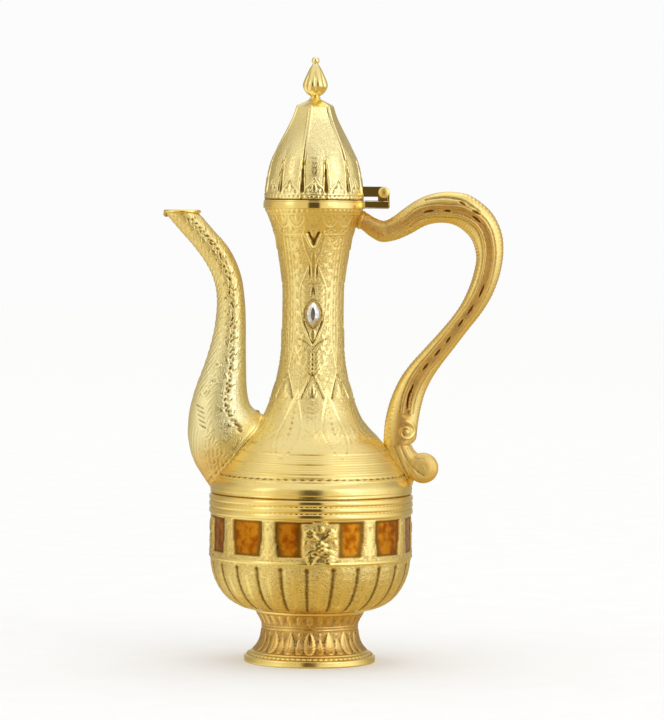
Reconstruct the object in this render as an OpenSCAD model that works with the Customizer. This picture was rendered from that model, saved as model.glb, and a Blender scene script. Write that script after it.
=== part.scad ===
// Long-necked dallah coffee pot: a drum-shaped vessel on a flared foot, a swept spout,
// a scrolled handle and a hinged, finial-topped lid. Millimetres, +Z up.
// The origin is the centre of the foot's resting ring. The spout points along -X and
// the handle along +X, so XZ is the plane of symmetry.

/* [Foot] */
// Radius of the resting ring
foot_r = 32.2; // [30:0.1:34]
// Height of the foot up to the vessel's bottom
foot_h = 26; // [25:0.5:29]
// Radius of the foot's waist
stem_r = 23.5; // [22:0.1:25]
// Radius of the foot's top edge, under the vessel
seat_r = 27.5; // [26:0.1:29]
// Thickness of the pressed-in base plate
base_plate_t = 1.5; // [1:0.1:2]

/* [Vessel] */
// Outer radius of the drum
drum_r = 49.2; // [48:0.1:49.4]
// Height at which the drum's straight side starts
drum_low_z = 52; // [48:0.5:56]
// Height of the joint between the vessel and the neck shell
joint_z = 82.6; // [81:0.1:84]
// Wall thickness of the shells
wall = 1.5; // [1.2:0.1:1.8]
// Height of the three-ridged belt under the joint
belt_h = 9.7; // [8:0.1:11]

/* [Neck] */
// Outer radius of the neck shell at the joint
shoulder_r = 49.4; // [49:0.1:49.8]
// Outer radius of the neck at its waist
waist_r = 15.4; // [15:0.1:16.5]
// Height of the neck's top edge
neck_top_z = 222.1; // [220:0.1:224]
// Outer radius of the neck's top edge
neck_top_r = 24; // [23.5:0.1:24.4]

/* [Collar and lid] */
// Outer radius of the polished rim collar
collar_r = 24.8; // [24.5:0.1:25.2]
// Height of the rim collar
collar_h = 4.2; // [3.8:0.1:4.4]
// Outer radius of the lid's rim
lid_r = 24.2; // [24:0.1:24.6]
// Height of the lid without its finial
lid_h = 49.2; // [48:0.1:51]
// Gap between the closed lid and the collar
lid_gap = 0.25; // [0.2:0.05:0.4]

/* [Finial] */
// Largest radius of the finial's bud
finial_r = 6.3; // [6:0.1:6.6]

/* [Hinge] */
// Distance of the hinge pin from the pot's axis
hinge_x = 34; // [33.6:0.1:35]
// Height of the hinge pin
hinge_z = 230.3; // [229.8:0.1:230.8]
// Outer radius of the knuckles
knuckle_r = 2.8; // [2.6:0.1:3.1]
// Radius of the hinge pin
pin_r = 1.4; // [1.2:0.1:1.6]
// Running clearance between the pin and the lid's knuckle
pin_gap = 0.06; // [0.03:0.01:0.1]
// Width of the body leaf across both ears
hinge_w = 14; // [13:0.5:15]

/* [Spout and handle] */
// Wall thickness of the spout
spout_wall = 1.3; // [1:0.1:1.5]
// Height of the spout's mouth
mouth_z = 219.2; // [218:0.1:220]
// Radius of the screws that hold the handle
screw_r = 2; // [1.8:0.1:2]
// Radius of the strainer holes behind the spout
strainer_hole_r = 2; // [1.5:0.1:2.2]

/* [Gems] */
// Height of the marquise gems on the neck
gem_z = 171; // [168:0.5:174]

/* [Hidden] */

GOLD = "#E6BE58";
GOLD_BRIGHT = "#F2D078";
STEEL = "#B8BCC0";
CLEAR = "#E8EEF5";
SEAL = "#D8D4CC";

ROUND = 96;            // facets asked of a round shape
BORE = 48;             // facets asked of a bore, pin or screw
EPS = 0.01;

bowl_steps = 10;       // straight pieces in the vessel's rounded bottom
foot_ring_h = 2.5;     // plain edge of the foot
foot_wall = 2;         // wall of the cast foot
plate_lift = 1;        // how far the base plate sits above the table
seat_t = 1.5;          // thickness of the foot's top plate
spigot_h = 3;          // height of the vessel's spigot inside the neck shell
stud_r = 3;            // M6 stud under the vessel
stud_len = 11;
foot_washer_r = 7;
foot_washer_t = 1.2;
collar_bore_r = neck_top_r - wall;
collar_top_z = neck_top_z + collar_h;
lid_z = collar_top_z + lid_gap;
lid_top_z = lid_z + lid_h;
finial_stud_r = 1.5;   // M3 stud of the finial
finial_seat_r = 4.5;   // flat seat inside the lid for the washer
finial_seat_z = lid_top_z - 2.5;
finial_washer_t = 0.8;
ear_t = 3;             // thickness of each hinge ear
lug_gap = 0.3;         // side clearance of the lid's knuckle between the ears
leaf_z = [neck_top_z + 0.3, collar_top_z];

// The neck's outline above the plain shoulder band, as [radius, height].
shoulder_band_z = joint_z + 3.7;
neck_outline = [
  [shoulder_r - 1.7, joint_z + 6.7], [41, 99.1], [34.3, 108.7], [28.2, 115.1], [23.5, 122.4],
  [18.5, 136.8], [waist_r + 0.6, 151.3], [waist_r, 172.3], [waist_r + 0.5, 188.3], [18.4, 204.3],
  [20.7, 212.8], [neck_top_r, neck_top_z]
];

// The lid's outline from its plain rim to the edge of its cap, as [radius, height].
lid_outline = [
  [lid_r, lid_z + 2.3], [23.6, 233.5], [22.3, 241.8], [19.3, 250.7],
  [15.2, 258.8], [11.4, 266.5], [9.4, lid_top_z - 3.5]
];

// The spout and the handle as sections across the plane of symmetry: the section's outer
// end [x, z], its inner end [x, z] and its half width across the plane.
spout_path = [
  [-40, 79.3, -15, 116.3, 12], [-48.5, 84.8, -20, 119.3, 14], [-53.6, 91.5, -24.5, 121.3, 14.4],
  [-57.6, 98.3, -27.5, 123.1, 14.3], [-60, 106.3, -29.5, 124.9, 13.8],
  [-60.7, 114.3, -30.7, 126.9, 13], [-59.8, 123.8, -31.6, 130.5, 12.1],
  [-56.9, 134.3, -32.2, 136.3, 10.8], [-52.9, 145.3, -32.5, 145.3, 9.3],
  [-49.7, 155.9, -32.7, 155.9, 8.1], [-47.8, 165.3, -32.8, 165.6, 7.3],
  [-47, 176.8, -33.5, 177.8, 6.7], [-48.4, 186, -35.6, 189.9, 6.5],
  [-52.4, 194.7, -41, 201.7, 6.4], [-58.7, 203.3, -49.2, 211.3, 6.3],
  [-66.3, 211.9, -56.8, 219.9, 6.3], [-74, 220.9, -64.5, 228.9, 6.3]
];
handle_path = [
  [20, 221.3, 17.5, 213.8, 4.4], [25.2, 220.5, 22.6, 212.5, 4.5], [29.8, 217.9, 27.4, 208.9, 4.5],
  [34.4, 216.5, 32.8, 206.2, 4.5], [38.9, 218.7, 39.6, 207, 4.6],
  [44.2, 222.7, 46.9, 210.1, 4.8], [50.4, 226.9, 54, 214.1, 5], [57.7, 229.9, 60, 215.7, 5.2],
  [66.2, 231, 65.8, 215.6, 5.3], [75.5, 229.5, 70.3, 214.1, 5.4], [83.6, 224.3, 73.8, 211.6, 5.4],
  [88.6, 218.5, 76.1, 209.3, 5.4], [91.9, 210.8, 77.8, 206.6, 5.4], [92.8, 202.8, 79.2, 202.3, 5.4],
  [92.1, 195.3, 79.6, 197.3, 5.3], [90.3, 187.8, 78.3, 190.7, 5.2], [86.9, 179.3, 76.5, 184.9, 5],
  [81.9, 171.2, 73, 177, 4.8], [76, 163.6, 68.2, 169.7, 4.6], [69.4, 154.8, 61.4, 161.5, 4.6],
  [63, 146.3, 53.8, 153, 4.6], [58.6, 139.6, 47.5, 145.8, 4.8], [55.3, 132.6, 42.5, 138.3, 5],
  [53.2, 124.8, 38.4, 128.7, 5.3], [52, 117.1, 36.1, 119.3, 5.6], [51.4, 111.3, 35.4, 111.7, 5.8],
  [50.8, 106.9, 35.2, 106.9, 5.8]
];
bracket_top_z = 106.9;
knob = [54.8, 95.6];
knob_r = 7;
bracket_w = 10;

// Where the two handle screws cross the wall, as [x, z, rise above the horizontal].
handle_screw_places = [[20.9, 216.5, -16], [44.5, 93.5, 35.4]];
screw_grip = 9;        // length inside the handle
screw_head_r = 3;
screw_head_t = 2;
seal_r = 3.4;
head_back = 5.5;       // from the wall to the underside of the screw heads

// The strainer holes cross the shoulder here, behind the spout's root.
strainer_place = [-38.5, 102, 144.6];
strainer_pitch = 6;

// Half height and half width of the gem's outline and of its bezel's.
gem_size = [5.8, 3.1];
bezel_size = [6.6, 3.8];
gem_table = 0.55;      // the gem's flat top as a share of its outline
bezel_y = waist_r + 1.7;
gem_floor_y = waist_r + 0.7;
gem_crown = 1.2;

// Catmull-Rom curve through a list of points, with a number of steps between each two.
function between(a, b, c, d, t) =
  0.5 * (2 * b + (c - a) * t + (2 * a - 5 * b + 4 * c - d) * t * t
         + (3 * b - a - 3 * c + d) * t * t * t);
function smooth(points, steps) = [
  for (i = [0 : len(points) - 2]) for (k = [0 : steps - 1])
    between(points[max(i - 1, 0)], points[i], points[i + 1],
            points[min(i + 2, len(points) - 1)], k / steps),
  points[len(points) - 1]
];
function reversed(list) = [for (i = [len(list) - 1 : -1 : 0]) list[i]];
function inset(line, by) = [for (p = line) [p[0] - by, p[1]]];

neck_line = smooth(neck_outline, 3);
lid_line = smooth(lid_outline, 3);
foot_line = smooth([
  [foot_r, foot_ring_h], [foot_r - 2.2, 4.4], [26.6, 7.2], [24.4, 11], [stem_r, 16.5],
  [24.3, 21], [seat_r, foot_h]
], 3);

// The rounded corner from a flat floor of seat_r up to the drum's side.
function bowl_corner(side_r, floor_z) = [
  for (i = [0 : bowl_steps])
    [seat_r + (side_r - seat_r) * sin(90 * i / bowl_steps),
     floor_z + (drum_low_z - floor_z) * (1 - cos(90 * i / bowl_steps))]
];

module revolve(points) {
  rotate_extrude($fn = ROUND) polygon(points);
}

// Turns +Z to point up from the horizontal by rise, in the plane of symmetry, at a place.
module at_wall(place) {
  translate([place[0], 0, place[1]]) rotate([0, 90 - place[2], 0]) children();
}

// An elliptical section: its middle, its half axis in the plane of symmetry, its half width.
function section(middle, half, half_w, sides) = [
  for (k = [0 : sides - 1])
    let (p = middle + half * cos(360 * k / sides))
      [p[0], half_w * sin(360 * k / sides), p[1]]
];

// Elliptical sections through a path, made thinner all round.
function across(line, thinner, sides) = [
  for (p = line)
    let (half = [p[0] - p[2], p[1] - p[3]] / 2)
      section([p[0] + p[2], p[1] + p[3]] / 2, half * (1 - thinner / norm(half)),
              p[4] - thinner, sides)
];

// A closed solid through a row of sections.
module loft(sections) {
  sides = len(sections[0]);
  last = len(sections) - 1;
  polyhedron(
    points = [for (s = sections) each s],
    faces = concat(
      [[for (k = [sides - 1 : -1 : 0]) k]],
      [for (i = [0 : last - 1]) for (k = [0 : sides - 1])
        let (n = (k + 1) % sides)
          [i * sides + k, i * sides + n, (i + 1) * sides + k]],
      [for (i = [0 : last - 1]) for (k = [0 : sides - 1])
        let (n = (k + 1) % sides)
          [(i + 1) * sides + k, i * sides + n, (i + 1) * sides + n]],
      [[for (k = [0 : sides - 1]) last * sides + k]]
    ),
    convexity = 6
  );
}

// Everything inside the neck shell's outer face, carried down past the belt.
module inside_neck_face() {
  revolve(concat(
    [[0, joint_z - 20], [shoulder_r + 0.5, joint_z - 20], [shoulder_r + 0.5, joint_z],
     [shoulder_r, joint_z], [shoulder_r, shoulder_band_z]],
    neck_line,
    [[0, neck_top_z]]
  ));
}

// Everything inside the neck shell's inner face.
module inside_neck_bore() {
  revolve(concat(
    [[0, joint_z], [shoulder_r - wall, joint_z], [shoulder_r - wall, shoulder_band_z]],
    inset(neck_line, wall),
    [[0, neck_top_z]]
  ));
}

// A pointed oval of two arcs, size[0] half high and size[1] half wide.
module marquise(size) {
  arc_r = (size[0] * size[0] + size[1] * size[1]) / (2 * size[1]);
  intersection() {
    translate([arc_r - size[1], 0]) circle(r = arc_r, $fn = ROUND);
    translate([size[1] - arc_r, 0]) circle(r = arc_r, $fn = ROUND);
  }
}

// Stands a shape drawn in XY up against the neck's front (side 0) or back (side 1).
module on_neck(side, y) {
  rotate([0, 0, 180 * side]) translate([0, -y, gem_z]) rotate([90, 0, 0]) children();
}

module hex_nut(across_flats, h, hole_r) {
  difference() {
    cylinder(r = across_flats / 2 / cos(30), h = h, $fn = 6);
    translate([0, 0, -1]) cylinder(r = hole_r, h = h + 2, $fn = BORE);
  }
}

module ring(outer_r, inner_r, h) {
  difference() {
    cylinder(r = outer_r, h = h, $fn = BORE);
    translate([0, 0, -1]) cylinder(r = inner_r, h = h + 2, $fn = BORE);
  }
}

// Flared pedestal with a flat seat for the vessel.
module foot() {
  inner_line = [for (p = foot_line) if (p[1] < foot_h - seat_t) [p[0] - foot_wall, p[1]]];
  color(GOLD) difference() {
    revolve(concat(
      [[foot_r - foot_wall, 0], [foot_r - 0.5, 0], [foot_r, 0.5]],
      foot_line,
      [[0, foot_h], [0, foot_h - seat_t], [seat_r - foot_wall - 1, foot_h - seat_t]],
      reversed(inner_line)
    ));
    translate([0, 0, foot_h - seat_t - 1]) cylinder(r = stud_r + 0.2, h = seat_t + 2, $fn = BORE);
  }
}

// Disc pressed into the foot's ring, just clear of the table.
module base_plate() {
  color(GOLD) translate([0, 0, plate_lift])
    cylinder(r = foot_r - foot_wall, h = base_plate_t, $fn = ROUND);
}

// Threaded stud welded under the vessel.
module foot_stud() {
  color(STEEL) translate([0, 0, foot_h - stud_len]) cylinder(r = stud_r, h = stud_len, $fn = BORE);
}

module foot_washer() {
  color(STEEL) translate([0, 0, foot_h - seat_t - foot_washer_t])
    ring(foot_washer_r, stud_r, foot_washer_t);
}

module foot_nut() {
  across_flats = 10;
  nut_t = 5;
  color(STEEL) translate([0, 0, foot_h - seat_t - foot_washer_t - nut_t])
    hex_nut(across_flats, nut_t, stud_r);
}

// Bowl-bottomed drum with a spigot that enters the neck shell.
module vessel() {
  spigot_r = shoulder_r - wall;
  color(GOLD) revolve(concat(
    [[0, foot_h]],
    bowl_corner(drum_r, foot_h),
    [[drum_r, joint_z], [spigot_r, joint_z], [spigot_r, joint_z + spigot_h],
     [spigot_r - wall, joint_z + spigot_h], [spigot_r - wall, joint_z - spigot_h],
     [drum_r - wall, joint_z - spigot_h - 1]],
    reversed(bowl_corner(drum_r - wall, foot_h + wall)),
    [[0, foot_h + wall]]
  ));
}

// Belt of three rounded ridges round the top of the drum.
module belt_ring() {
  ridge_h = belt_h / 3;
  ridge_r = 0.6;
  color(GOLD_BRIGHT) revolve(concat(
    [[drum_r, joint_z - belt_h]],
    [for (k = [0 : 2]) for (a = [0 : 30 : 180])
      [drum_r + 0.2 + ridge_r * sin(a), joint_z - belt_h + ridge_h * (k + 0.5 - 0.5 * cos(a))]],
    [[drum_r, joint_z]]
  ));
}

// Shoulder and neck in one shell, pierced by the strainer holes and the handle's screws.
module neck_shell() {
  cut_len = 8;
  color(GOLD) difference() {
    revolve(concat(
      [[shoulder_r - wall, joint_z], [shoulder_r, joint_z], [shoulder_r, shoulder_band_z]],
      neck_line,
      reversed(inset(neck_line, wall)),
      [[shoulder_r - wall, shoulder_band_z]]
    ));
    for (place = handle_screw_places)
      at_wall(place) cylinder(r = screw_r, h = cut_len, center = true, $fn = BORE);
    at_wall(strainer_place) {
      cylinder(r = strainer_hole_r, h = cut_len, center = true, $fn = BORE);
      for (a = [0 : 60 : 300])
        rotate([0, 0, a]) translate([strainer_pitch, 0, 0])
          cylinder(r = strainer_hole_r, h = cut_len, center = true, $fn = BORE);
    }
  }
}

// Plain polished band at the mouth of the neck.
module rim_collar() {
  color(GOLD_BRIGHT) revolve([
    [collar_bore_r, neck_top_z], [collar_r - 0.6, neck_top_z], [collar_r, neck_top_z + 0.8],
    [collar_r, collar_top_z - 0.8], [collar_r - 0.6, collar_top_z], [collar_bore_r, collar_top_z]
  ]);
}

// A pointed-oval setting on the front and on the back of the neck.
module gem_bezels() {
  color(GOLD_BRIGHT) for (side = [0, 1]) difference() {
    on_neck(side, waist_r - 1) linear_extrude(bezel_y - waist_r + 1) marquise(bezel_size);
    on_neck(side, gem_floor_y) linear_extrude(3) marquise(gem_size);
    inside_neck_face();
  }
}

// Clear pointed-oval stones with a bevelled crown.
module gems() {
  color(CLEAR) for (side = [0, 1]) on_neck(side, gem_floor_y) {
    linear_extrude(bezel_y - gem_floor_y) marquise(gem_size);
    translate([0, 0, bezel_y - gem_floor_y])
      linear_extrude(gem_crown, scale = gem_table) marquise(gem_size);
  }
}

// Hollow spout, open to the strainer holes at its root and cut level at its mouth.
module spout() {
  color(GOLD) difference() {
    loft(across(smooth(spout_path, 3), 0, 24));
    loft(across(smooth(spout_path, 3), spout_wall, 24));
    inside_neck_face();
    translate([-100, -30, mouth_z]) cube([80, 60, 30]);
  }
}

// Bead soldered round the spout's level mouth.
module spout_lip() {
  mouth = [8.3, 6.4];
  lip_h = 1.7;
  lip_out = 1;
  color(GOLD_BRIGHT) translate([-64.4, 0, mouth_z]) linear_extrude(lip_h) difference() {
    scale([mouth[0] + lip_out, mouth[1] + lip_out]) circle(r = 1, $fn = 40);
    scale([mouth[0] - spout_wall - 0.3, mouth[1] - spout_wall]) circle(r = 1, $fn = 40);
  }
}

// Cast grip, from under the rim collar to the bracket on the shoulder.
module handle() {
  color(GOLD) difference() {
    loft(across(smooth(handle_path, 2), 0, 16));
    inside_neck_face();
    at_wall(handle_screw_places[0]) cylinder(r = screw_r, h = screw_grip, $fn = BORE);
  }
}

// Leaf-shaped bracket along the shoulder, ending in a rounded knob.
module handle_bracket() {
  color(GOLD) difference() {
    union() {
      rotate([90, 0, 0]) linear_extrude(bracket_w, center = true) polygon([
        [33, bracket_top_z], [49, bracket_top_z], [51, 101.3], [knob[0], knob[1] + knob_r],
        [knob[0], knob[1] - knob_r], [50, 88.8], [48, 85.8], [40, 85.8]
      ]);
      translate([knob[0], 0, knob[1]]) rotate([90, 0, 0])
        cylinder(r = knob_r, h = bracket_w + 1, center = true, $fn = ROUND);
    }
    inside_neck_face();
    at_wall(handle_screw_places[1]) cylinder(r = screw_r, h = screw_grip, $fn = BORE);
  }
}

// Screws from inside the neck shell into the handle and its bracket.
module handle_screws() {
  color(STEEL) for (place = handle_screw_places) at_wall(place) {
    translate([0, 0, -head_back]) cylinder(r = screw_r, h = screw_grip + head_back, $fn = BORE);
    translate([0, 0, -head_back - screw_head_t])
      cylinder(r = screw_head_r, h = screw_head_t, $fn = BORE);
  }
}

// Seals between the screw heads and the shell's inner face.
module handle_seals() {
  color(SEAL) for (place = handle_screw_places) intersection() {
    at_wall(place) translate([0, 0, -head_back]) ring(seal_r, screw_r, head_back);
    inside_neck_bore();
  }
}

// Bracket on the collar with two ears that hold the pin.
module hinge_body_leaf() {
  color(GOLD_BRIGHT) difference() {
    union() {
      translate([collar_r - 3, -hinge_w / 2, leaf_z[0]])
        cube([hinge_x + knuckle_r - collar_r + 3, hinge_w, leaf_z[1] - leaf_z[0]]);
      for (y = [-hinge_w / 2, hinge_w / 2 - ear_t]) {
        translate([hinge_x - knuckle_r, y, leaf_z[0]])
          cube([2 * knuckle_r, ear_t, hinge_z - leaf_z[0]]);
        translate([hinge_x, y + ear_t, hinge_z]) rotate([90, 0, 0])
          cylinder(r = knuckle_r, h = ear_t, $fn = BORE);
      }
    }
    translate([hinge_x, 0, hinge_z]) rotate([90, 0, 0])
      cylinder(r = pin_r, h = hinge_w + 2, center = true, $fn = BORE);
    inside_neck_face();
    translate([0, 0, neck_top_z - EPS]) cylinder(r = collar_r, h = collar_h + 1, $fn = ROUND);
  }
}

// Pin held in the ears, with a domed head at each end.
module hinge_pin() {
  head_r = 2.1;
  head_t = 1;
  color(GOLD_BRIGHT) translate([hinge_x, 0, hinge_z]) rotate([90, 0, 0]) {
    cylinder(r = pin_r, h = hinge_w + 2 * head_t, center = true, $fn = BORE);
    for (side = [-1, 1])
      translate([0, 0, side * (hinge_w + head_t) / 2])
        cylinder(r = head_r, h = head_t, center = true, $fn = BORE);
  }
}

// Tongue from the lid's rim to the knuckle between the ears.
module hinge_lid_leaf() {
  tongue_w = hinge_w - 2 * ear_t - 2 * lug_gap;
  tongue_z = [hinge_z - 1.6, hinge_z + knuckle_r];
  color(GOLD_BRIGHT) difference() {
    union() {
      translate([lid_r - 3, -tongue_w / 2, tongue_z[0]])
        cube([hinge_x - lid_r + 3, tongue_w, tongue_z[1] - tongue_z[0]]);
      translate([hinge_x, 0, hinge_z]) rotate([90, 0, 0])
        cylinder(r = knuckle_r, h = tongue_w, center = true, $fn = BORE);
    }
    translate([hinge_x, 0, hinge_z]) rotate([90, 0, 0])
      cylinder(r = pin_r + pin_gap, h = hinge_w, center = true, $fn = BORE);
    lid_solid();
  }
}

// The lid's outer form without its hollow.
module lid_solid() {
  revolve(concat(
    [[0, lid_z - EPS], [lid_r, lid_z - EPS]],
    lid_line,
    [[finial_stud_r + 0.7, lid_top_z], [0, lid_top_z]]
  ));
}

// Domed lid shell with a shallow cap.
module lid() {
  color(GOLD) revolve(concat(
    [[lid_r - wall, lid_z], [lid_r, lid_z]],
    lid_line,
    [[finial_stud_r + 0.7, lid_top_z], [finial_stud_r, lid_top_z],
     [finial_stud_r, finial_seat_z], [finial_seat_r, finial_seat_z]],
    reversed(inset(lid_line, wall))
  ));
}

// Sleeve inside the lid that drops into the collar.
module lid_skirt() {
  skirt_r = collar_bore_r - 1.3;
  sleeve_t = 1.2;
  flange_t = 1;
  drop = 4.3;
  color(GOLD) revolve([
    [skirt_r - sleeve_t, lid_z - drop], [skirt_r, lid_z - drop], [skirt_r, lid_z + 0.2],
    [lid_r - wall, lid_z + 0.2], [lid_r - wall, lid_z + 0.2 + flange_t],
    [skirt_r - sleeve_t, lid_z + 0.2 + flange_t]
  ]);
}

// Fluted bud on a threaded stud.
module finial() {
  stud_len = 8;
  bud_top_z = lid_top_z + 17;
  bud = smooth([
    [2.2, lid_top_z + 1.1], [4.4, lid_top_z + 2.6], [5.9, lid_top_z + 4.8],
    [finial_r, lid_top_z + 6.7], [5.6, lid_top_z + 9], [4.3, lid_top_z + 11.8],
    [2.8, lid_top_z + 14.6], [1.6, bud_top_z]
  ], 3);
  tip_r = 1.9;
  color(GOLD_BRIGHT) {
    revolve(concat(
      [[0, lid_top_z - stud_len], [finial_stud_r, lid_top_z - stud_len],
       [finial_stud_r, lid_top_z], [2.4, lid_top_z], [2.6, lid_top_z + 0.6]],
      bud,
      [[0, bud_top_z]]
    ));
    translate([0, 0, bud_top_z + tip_r * 0.8]) sphere(r = tip_r, $fn = BORE);
  }
}

module finial_washer() {
  washer_r = 4;
  color(STEEL) translate([0, 0, finial_seat_z - finial_washer_t])
    ring(washer_r, finial_stud_r, finial_washer_t);
}

module finial_nut() {
  across_flats = 5.5;
  nut_t = 2.4;
  color(STEEL) translate([0, 0, finial_seat_z - finial_washer_t - nut_t])
    hex_nut(across_flats, nut_t, finial_stud_r);
}

foot();
base_plate();
foot_stud();
foot_washer();
foot_nut();
vessel();
belt_ring();
neck_shell();
rim_collar();
gem_bezels();
gems();
spout();
spout_lip();
handle();
handle_bracket();
handle_screws();
handle_seals();
hinge_body_leaf();
hinge_pin();
hinge_lid_leaf();
lid();
lid_skirt();
finial();
finial_washer();
finial_nut();
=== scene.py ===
"""The looks of the dallah coffee pot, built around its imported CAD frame.

Shapes are drawn in millimetres in the pot's own frame: the spout points along -X, the handle
along +X and the front faces -Y. They become metres when a mesh is made.
"""

import math

import bmesh
import bpy
import numpy as np
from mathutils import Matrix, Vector

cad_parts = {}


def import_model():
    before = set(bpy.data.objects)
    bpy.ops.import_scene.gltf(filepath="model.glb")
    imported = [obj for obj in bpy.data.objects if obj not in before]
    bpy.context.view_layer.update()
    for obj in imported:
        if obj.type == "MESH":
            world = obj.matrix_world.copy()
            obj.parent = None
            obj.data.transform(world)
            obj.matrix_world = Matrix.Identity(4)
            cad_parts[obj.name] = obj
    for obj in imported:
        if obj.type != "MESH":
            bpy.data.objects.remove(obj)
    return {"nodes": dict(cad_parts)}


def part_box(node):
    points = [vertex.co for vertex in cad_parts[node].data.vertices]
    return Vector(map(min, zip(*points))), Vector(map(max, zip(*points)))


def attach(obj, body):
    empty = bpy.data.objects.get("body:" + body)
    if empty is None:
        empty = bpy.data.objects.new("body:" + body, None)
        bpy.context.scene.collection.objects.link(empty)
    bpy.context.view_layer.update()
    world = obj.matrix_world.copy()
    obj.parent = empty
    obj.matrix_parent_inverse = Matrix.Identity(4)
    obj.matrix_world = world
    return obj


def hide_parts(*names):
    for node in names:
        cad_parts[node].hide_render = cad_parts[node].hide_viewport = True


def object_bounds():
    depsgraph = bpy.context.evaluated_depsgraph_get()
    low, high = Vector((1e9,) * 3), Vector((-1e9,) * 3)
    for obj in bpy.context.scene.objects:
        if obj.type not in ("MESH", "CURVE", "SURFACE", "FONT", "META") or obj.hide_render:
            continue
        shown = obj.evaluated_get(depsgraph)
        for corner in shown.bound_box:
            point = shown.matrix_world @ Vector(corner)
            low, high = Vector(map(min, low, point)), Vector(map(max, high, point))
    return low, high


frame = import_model()
cad_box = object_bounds()

MM = 0.001
TAU = 2 * math.pi
random = np.random.default_rng(7)


# ---- places from the frame


def low(node):
    return np.array(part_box(node)[0]) / MM


def high(node):
    return np.array(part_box(node)[1]) / MM


JOINT_Z = low("neck_shell")[2]
NECK_TOP_Z = high("neck_shell")[2]
COLLAR_R = high("rim_collar")[0]
COLLAR_TOP_Z = high("rim_collar")[2]
LID_Z = low("lid")[2]
LID_TOP_Z = high("lid")[2]
BELT_Z = low("belt_ring")[2]
BELT_R = high("belt_ring")[0]
FOOT_TOP_Z = high("foot")[2]
MOUTH_Z = low("spout_lip")[2]
BRACKET_TOP_Z = high("handle_bracket")[2]
GEM_Z = (low("gems")[2] + high("gems")[2]) / 2
PIN_X = (low("hinge_pin")[0] + high("hinge_pin")[0]) / 2
PIN_Z = (low("hinge_pin")[2] + high("hinge_pin")[2]) / 2

WALL = 1.5           # wall of the turned shells
SPOUT_WALL = 1.3
SINK = 0.4           # how far a joined piece goes into the wall that it stands on
WHOLE_RING = 24      # vertices that a full ring of a turned CAD node has at least

# The spout and the handle as in the CAD: each section's outer end [x, z], its inner end
# [x, z] and its half width across the plane of symmetry.
SPOUT_PATH = [
    [-40, 79.3, -15, 116.3, 12], [-48.5, 84.8, -20, 119.3, 14], [-53.6, 91.5, -24.5, 121.3, 14.4],
    [-57.6, 98.3, -27.5, 123.1, 14.3], [-60, 106.3, -29.5, 124.9, 13.8],
    [-60.7, 114.3, -30.7, 126.9, 13], [-59.8, 123.8, -31.6, 130.5, 12.1],
    [-56.9, 134.3, -32.2, 136.3, 10.8], [-52.9, 145.3, -32.5, 145.3, 9.3],
    [-49.7, 155.9, -32.7, 155.9, 8.1], [-47.8, 165.3, -32.8, 165.6, 7.3],
    [-47, 176.8, -33.5, 177.8, 6.7], [-48.4, 186, -35.6, 189.9, 6.5],
    [-52.4, 194.7, -41, 201.7, 6.4], [-58.7, 203.3, -49.2, 211.3, 6.3],
    [-66.3, 211.9, -56.8, 219.9, 6.3], [-74, 220.9, -64.5, 228.9, 6.3],
]
HANDLE_PATH = [
    [20, 221.3, 17.5, 213.8, 4.4], [25.2, 220.5, 22.6, 212.5, 4.5], [29.8, 217.9, 27.4, 208.9, 4.5],
    [34.4, 216.5, 32.8, 206.2, 4.5], [38.9, 218.7, 39.6, 207, 4.6],
    [44.2, 222.7, 46.9, 210.1, 4.8], [50.4, 226.9, 54, 214.1, 5], [57.7, 229.9, 60, 215.7, 5.2],
    [66.2, 231, 65.8, 215.6, 5.3], [75.5, 229.5, 70.3, 214.1, 5.4], [83.6, 224.3, 73.8, 211.6, 5.4],
    [88.6, 218.5, 76.1, 209.3, 5.4], [91.9, 210.8, 77.8, 206.6, 5.4], [92.8, 202.8, 79.2, 202.3, 5.4],
    [92.1, 195.3, 79.6, 197.3, 5.3], [90.3, 187.8, 78.3, 190.7, 5.2], [86.9, 179.3, 76.5, 184.9, 5],
    [81.9, 171.2, 73, 177, 4.8], [76, 163.6, 68.2, 169.7, 4.6], [69.4, 154.8, 61.4, 161.5, 4.6],
    [63, 146.3, 53.8, 153, 4.6], [58.6, 139.6, 47.5, 145.8, 4.8], [55.3, 132.6, 42.5, 138.3, 5],
    [53.2, 124.8, 38.4, 128.7, 5.3], [52, 117.1, 36.1, 119.3, 5.6], [51.4, 111.3, 35.4, 111.7, 5.8],
    [50.8, 106.9, 35.2, 106.9, 5.8],
]


# ---- curves and grids


def curve(points, steps):
    """A Catmull-Rom curve through points, with a number of steps between each two."""
    p = np.asarray(points, float)
    p = np.vstack([p[:1], p, p[-1:]])
    t = np.arange(steps)[None, :, None] / steps
    a, b, c, d = p[:-3, None], p[1:-2, None], p[2:-1, None], p[3:, None]
    line = 0.5 * (
        2 * b + (c - a) * t + (2 * a - 5 * b + 4 * c - d) * t**2 + (3 * b - a - 3 * c + d) * t**3
    )
    return np.vstack([line.reshape(-1, p.shape[1]), p[-2:-1]])


def lengths(line):
    """How far along a line each of its points is."""
    return np.concatenate([[0], np.cumsum(np.linalg.norm(np.diff(line, axis=0), axis=1))])


def resample(line, count):
    """The same line in evenly spaced points."""
    line = np.asarray(line, float)
    along = lengths(line)
    even = np.linspace(0, along[-1], count)
    return np.column_stack([np.interp(even, along, column) for column in line.T])


def spiral(center, radius, start, turns, shrink, steps):
    """Points on a spiral, from the outside in; start is in degrees from +X, and shrink is the
    share of its radius that it loses."""
    t = np.linspace(0, 1, steps)
    angle = math.radians(start) + TAU * turns * t
    r = radius * (1 - shrink * t)
    return np.column_stack([center[0] + r * np.cos(angle), center[1] + r * np.sin(angle)])


def arc(center, radius, start, end, steps):
    """Points on a circle, with its angles in degrees from +X."""
    angle = np.radians(np.linspace(start, end, steps))
    return np.column_stack([center[0] + radius * np.cos(angle), center[1] + radius * np.sin(angle)])


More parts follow.
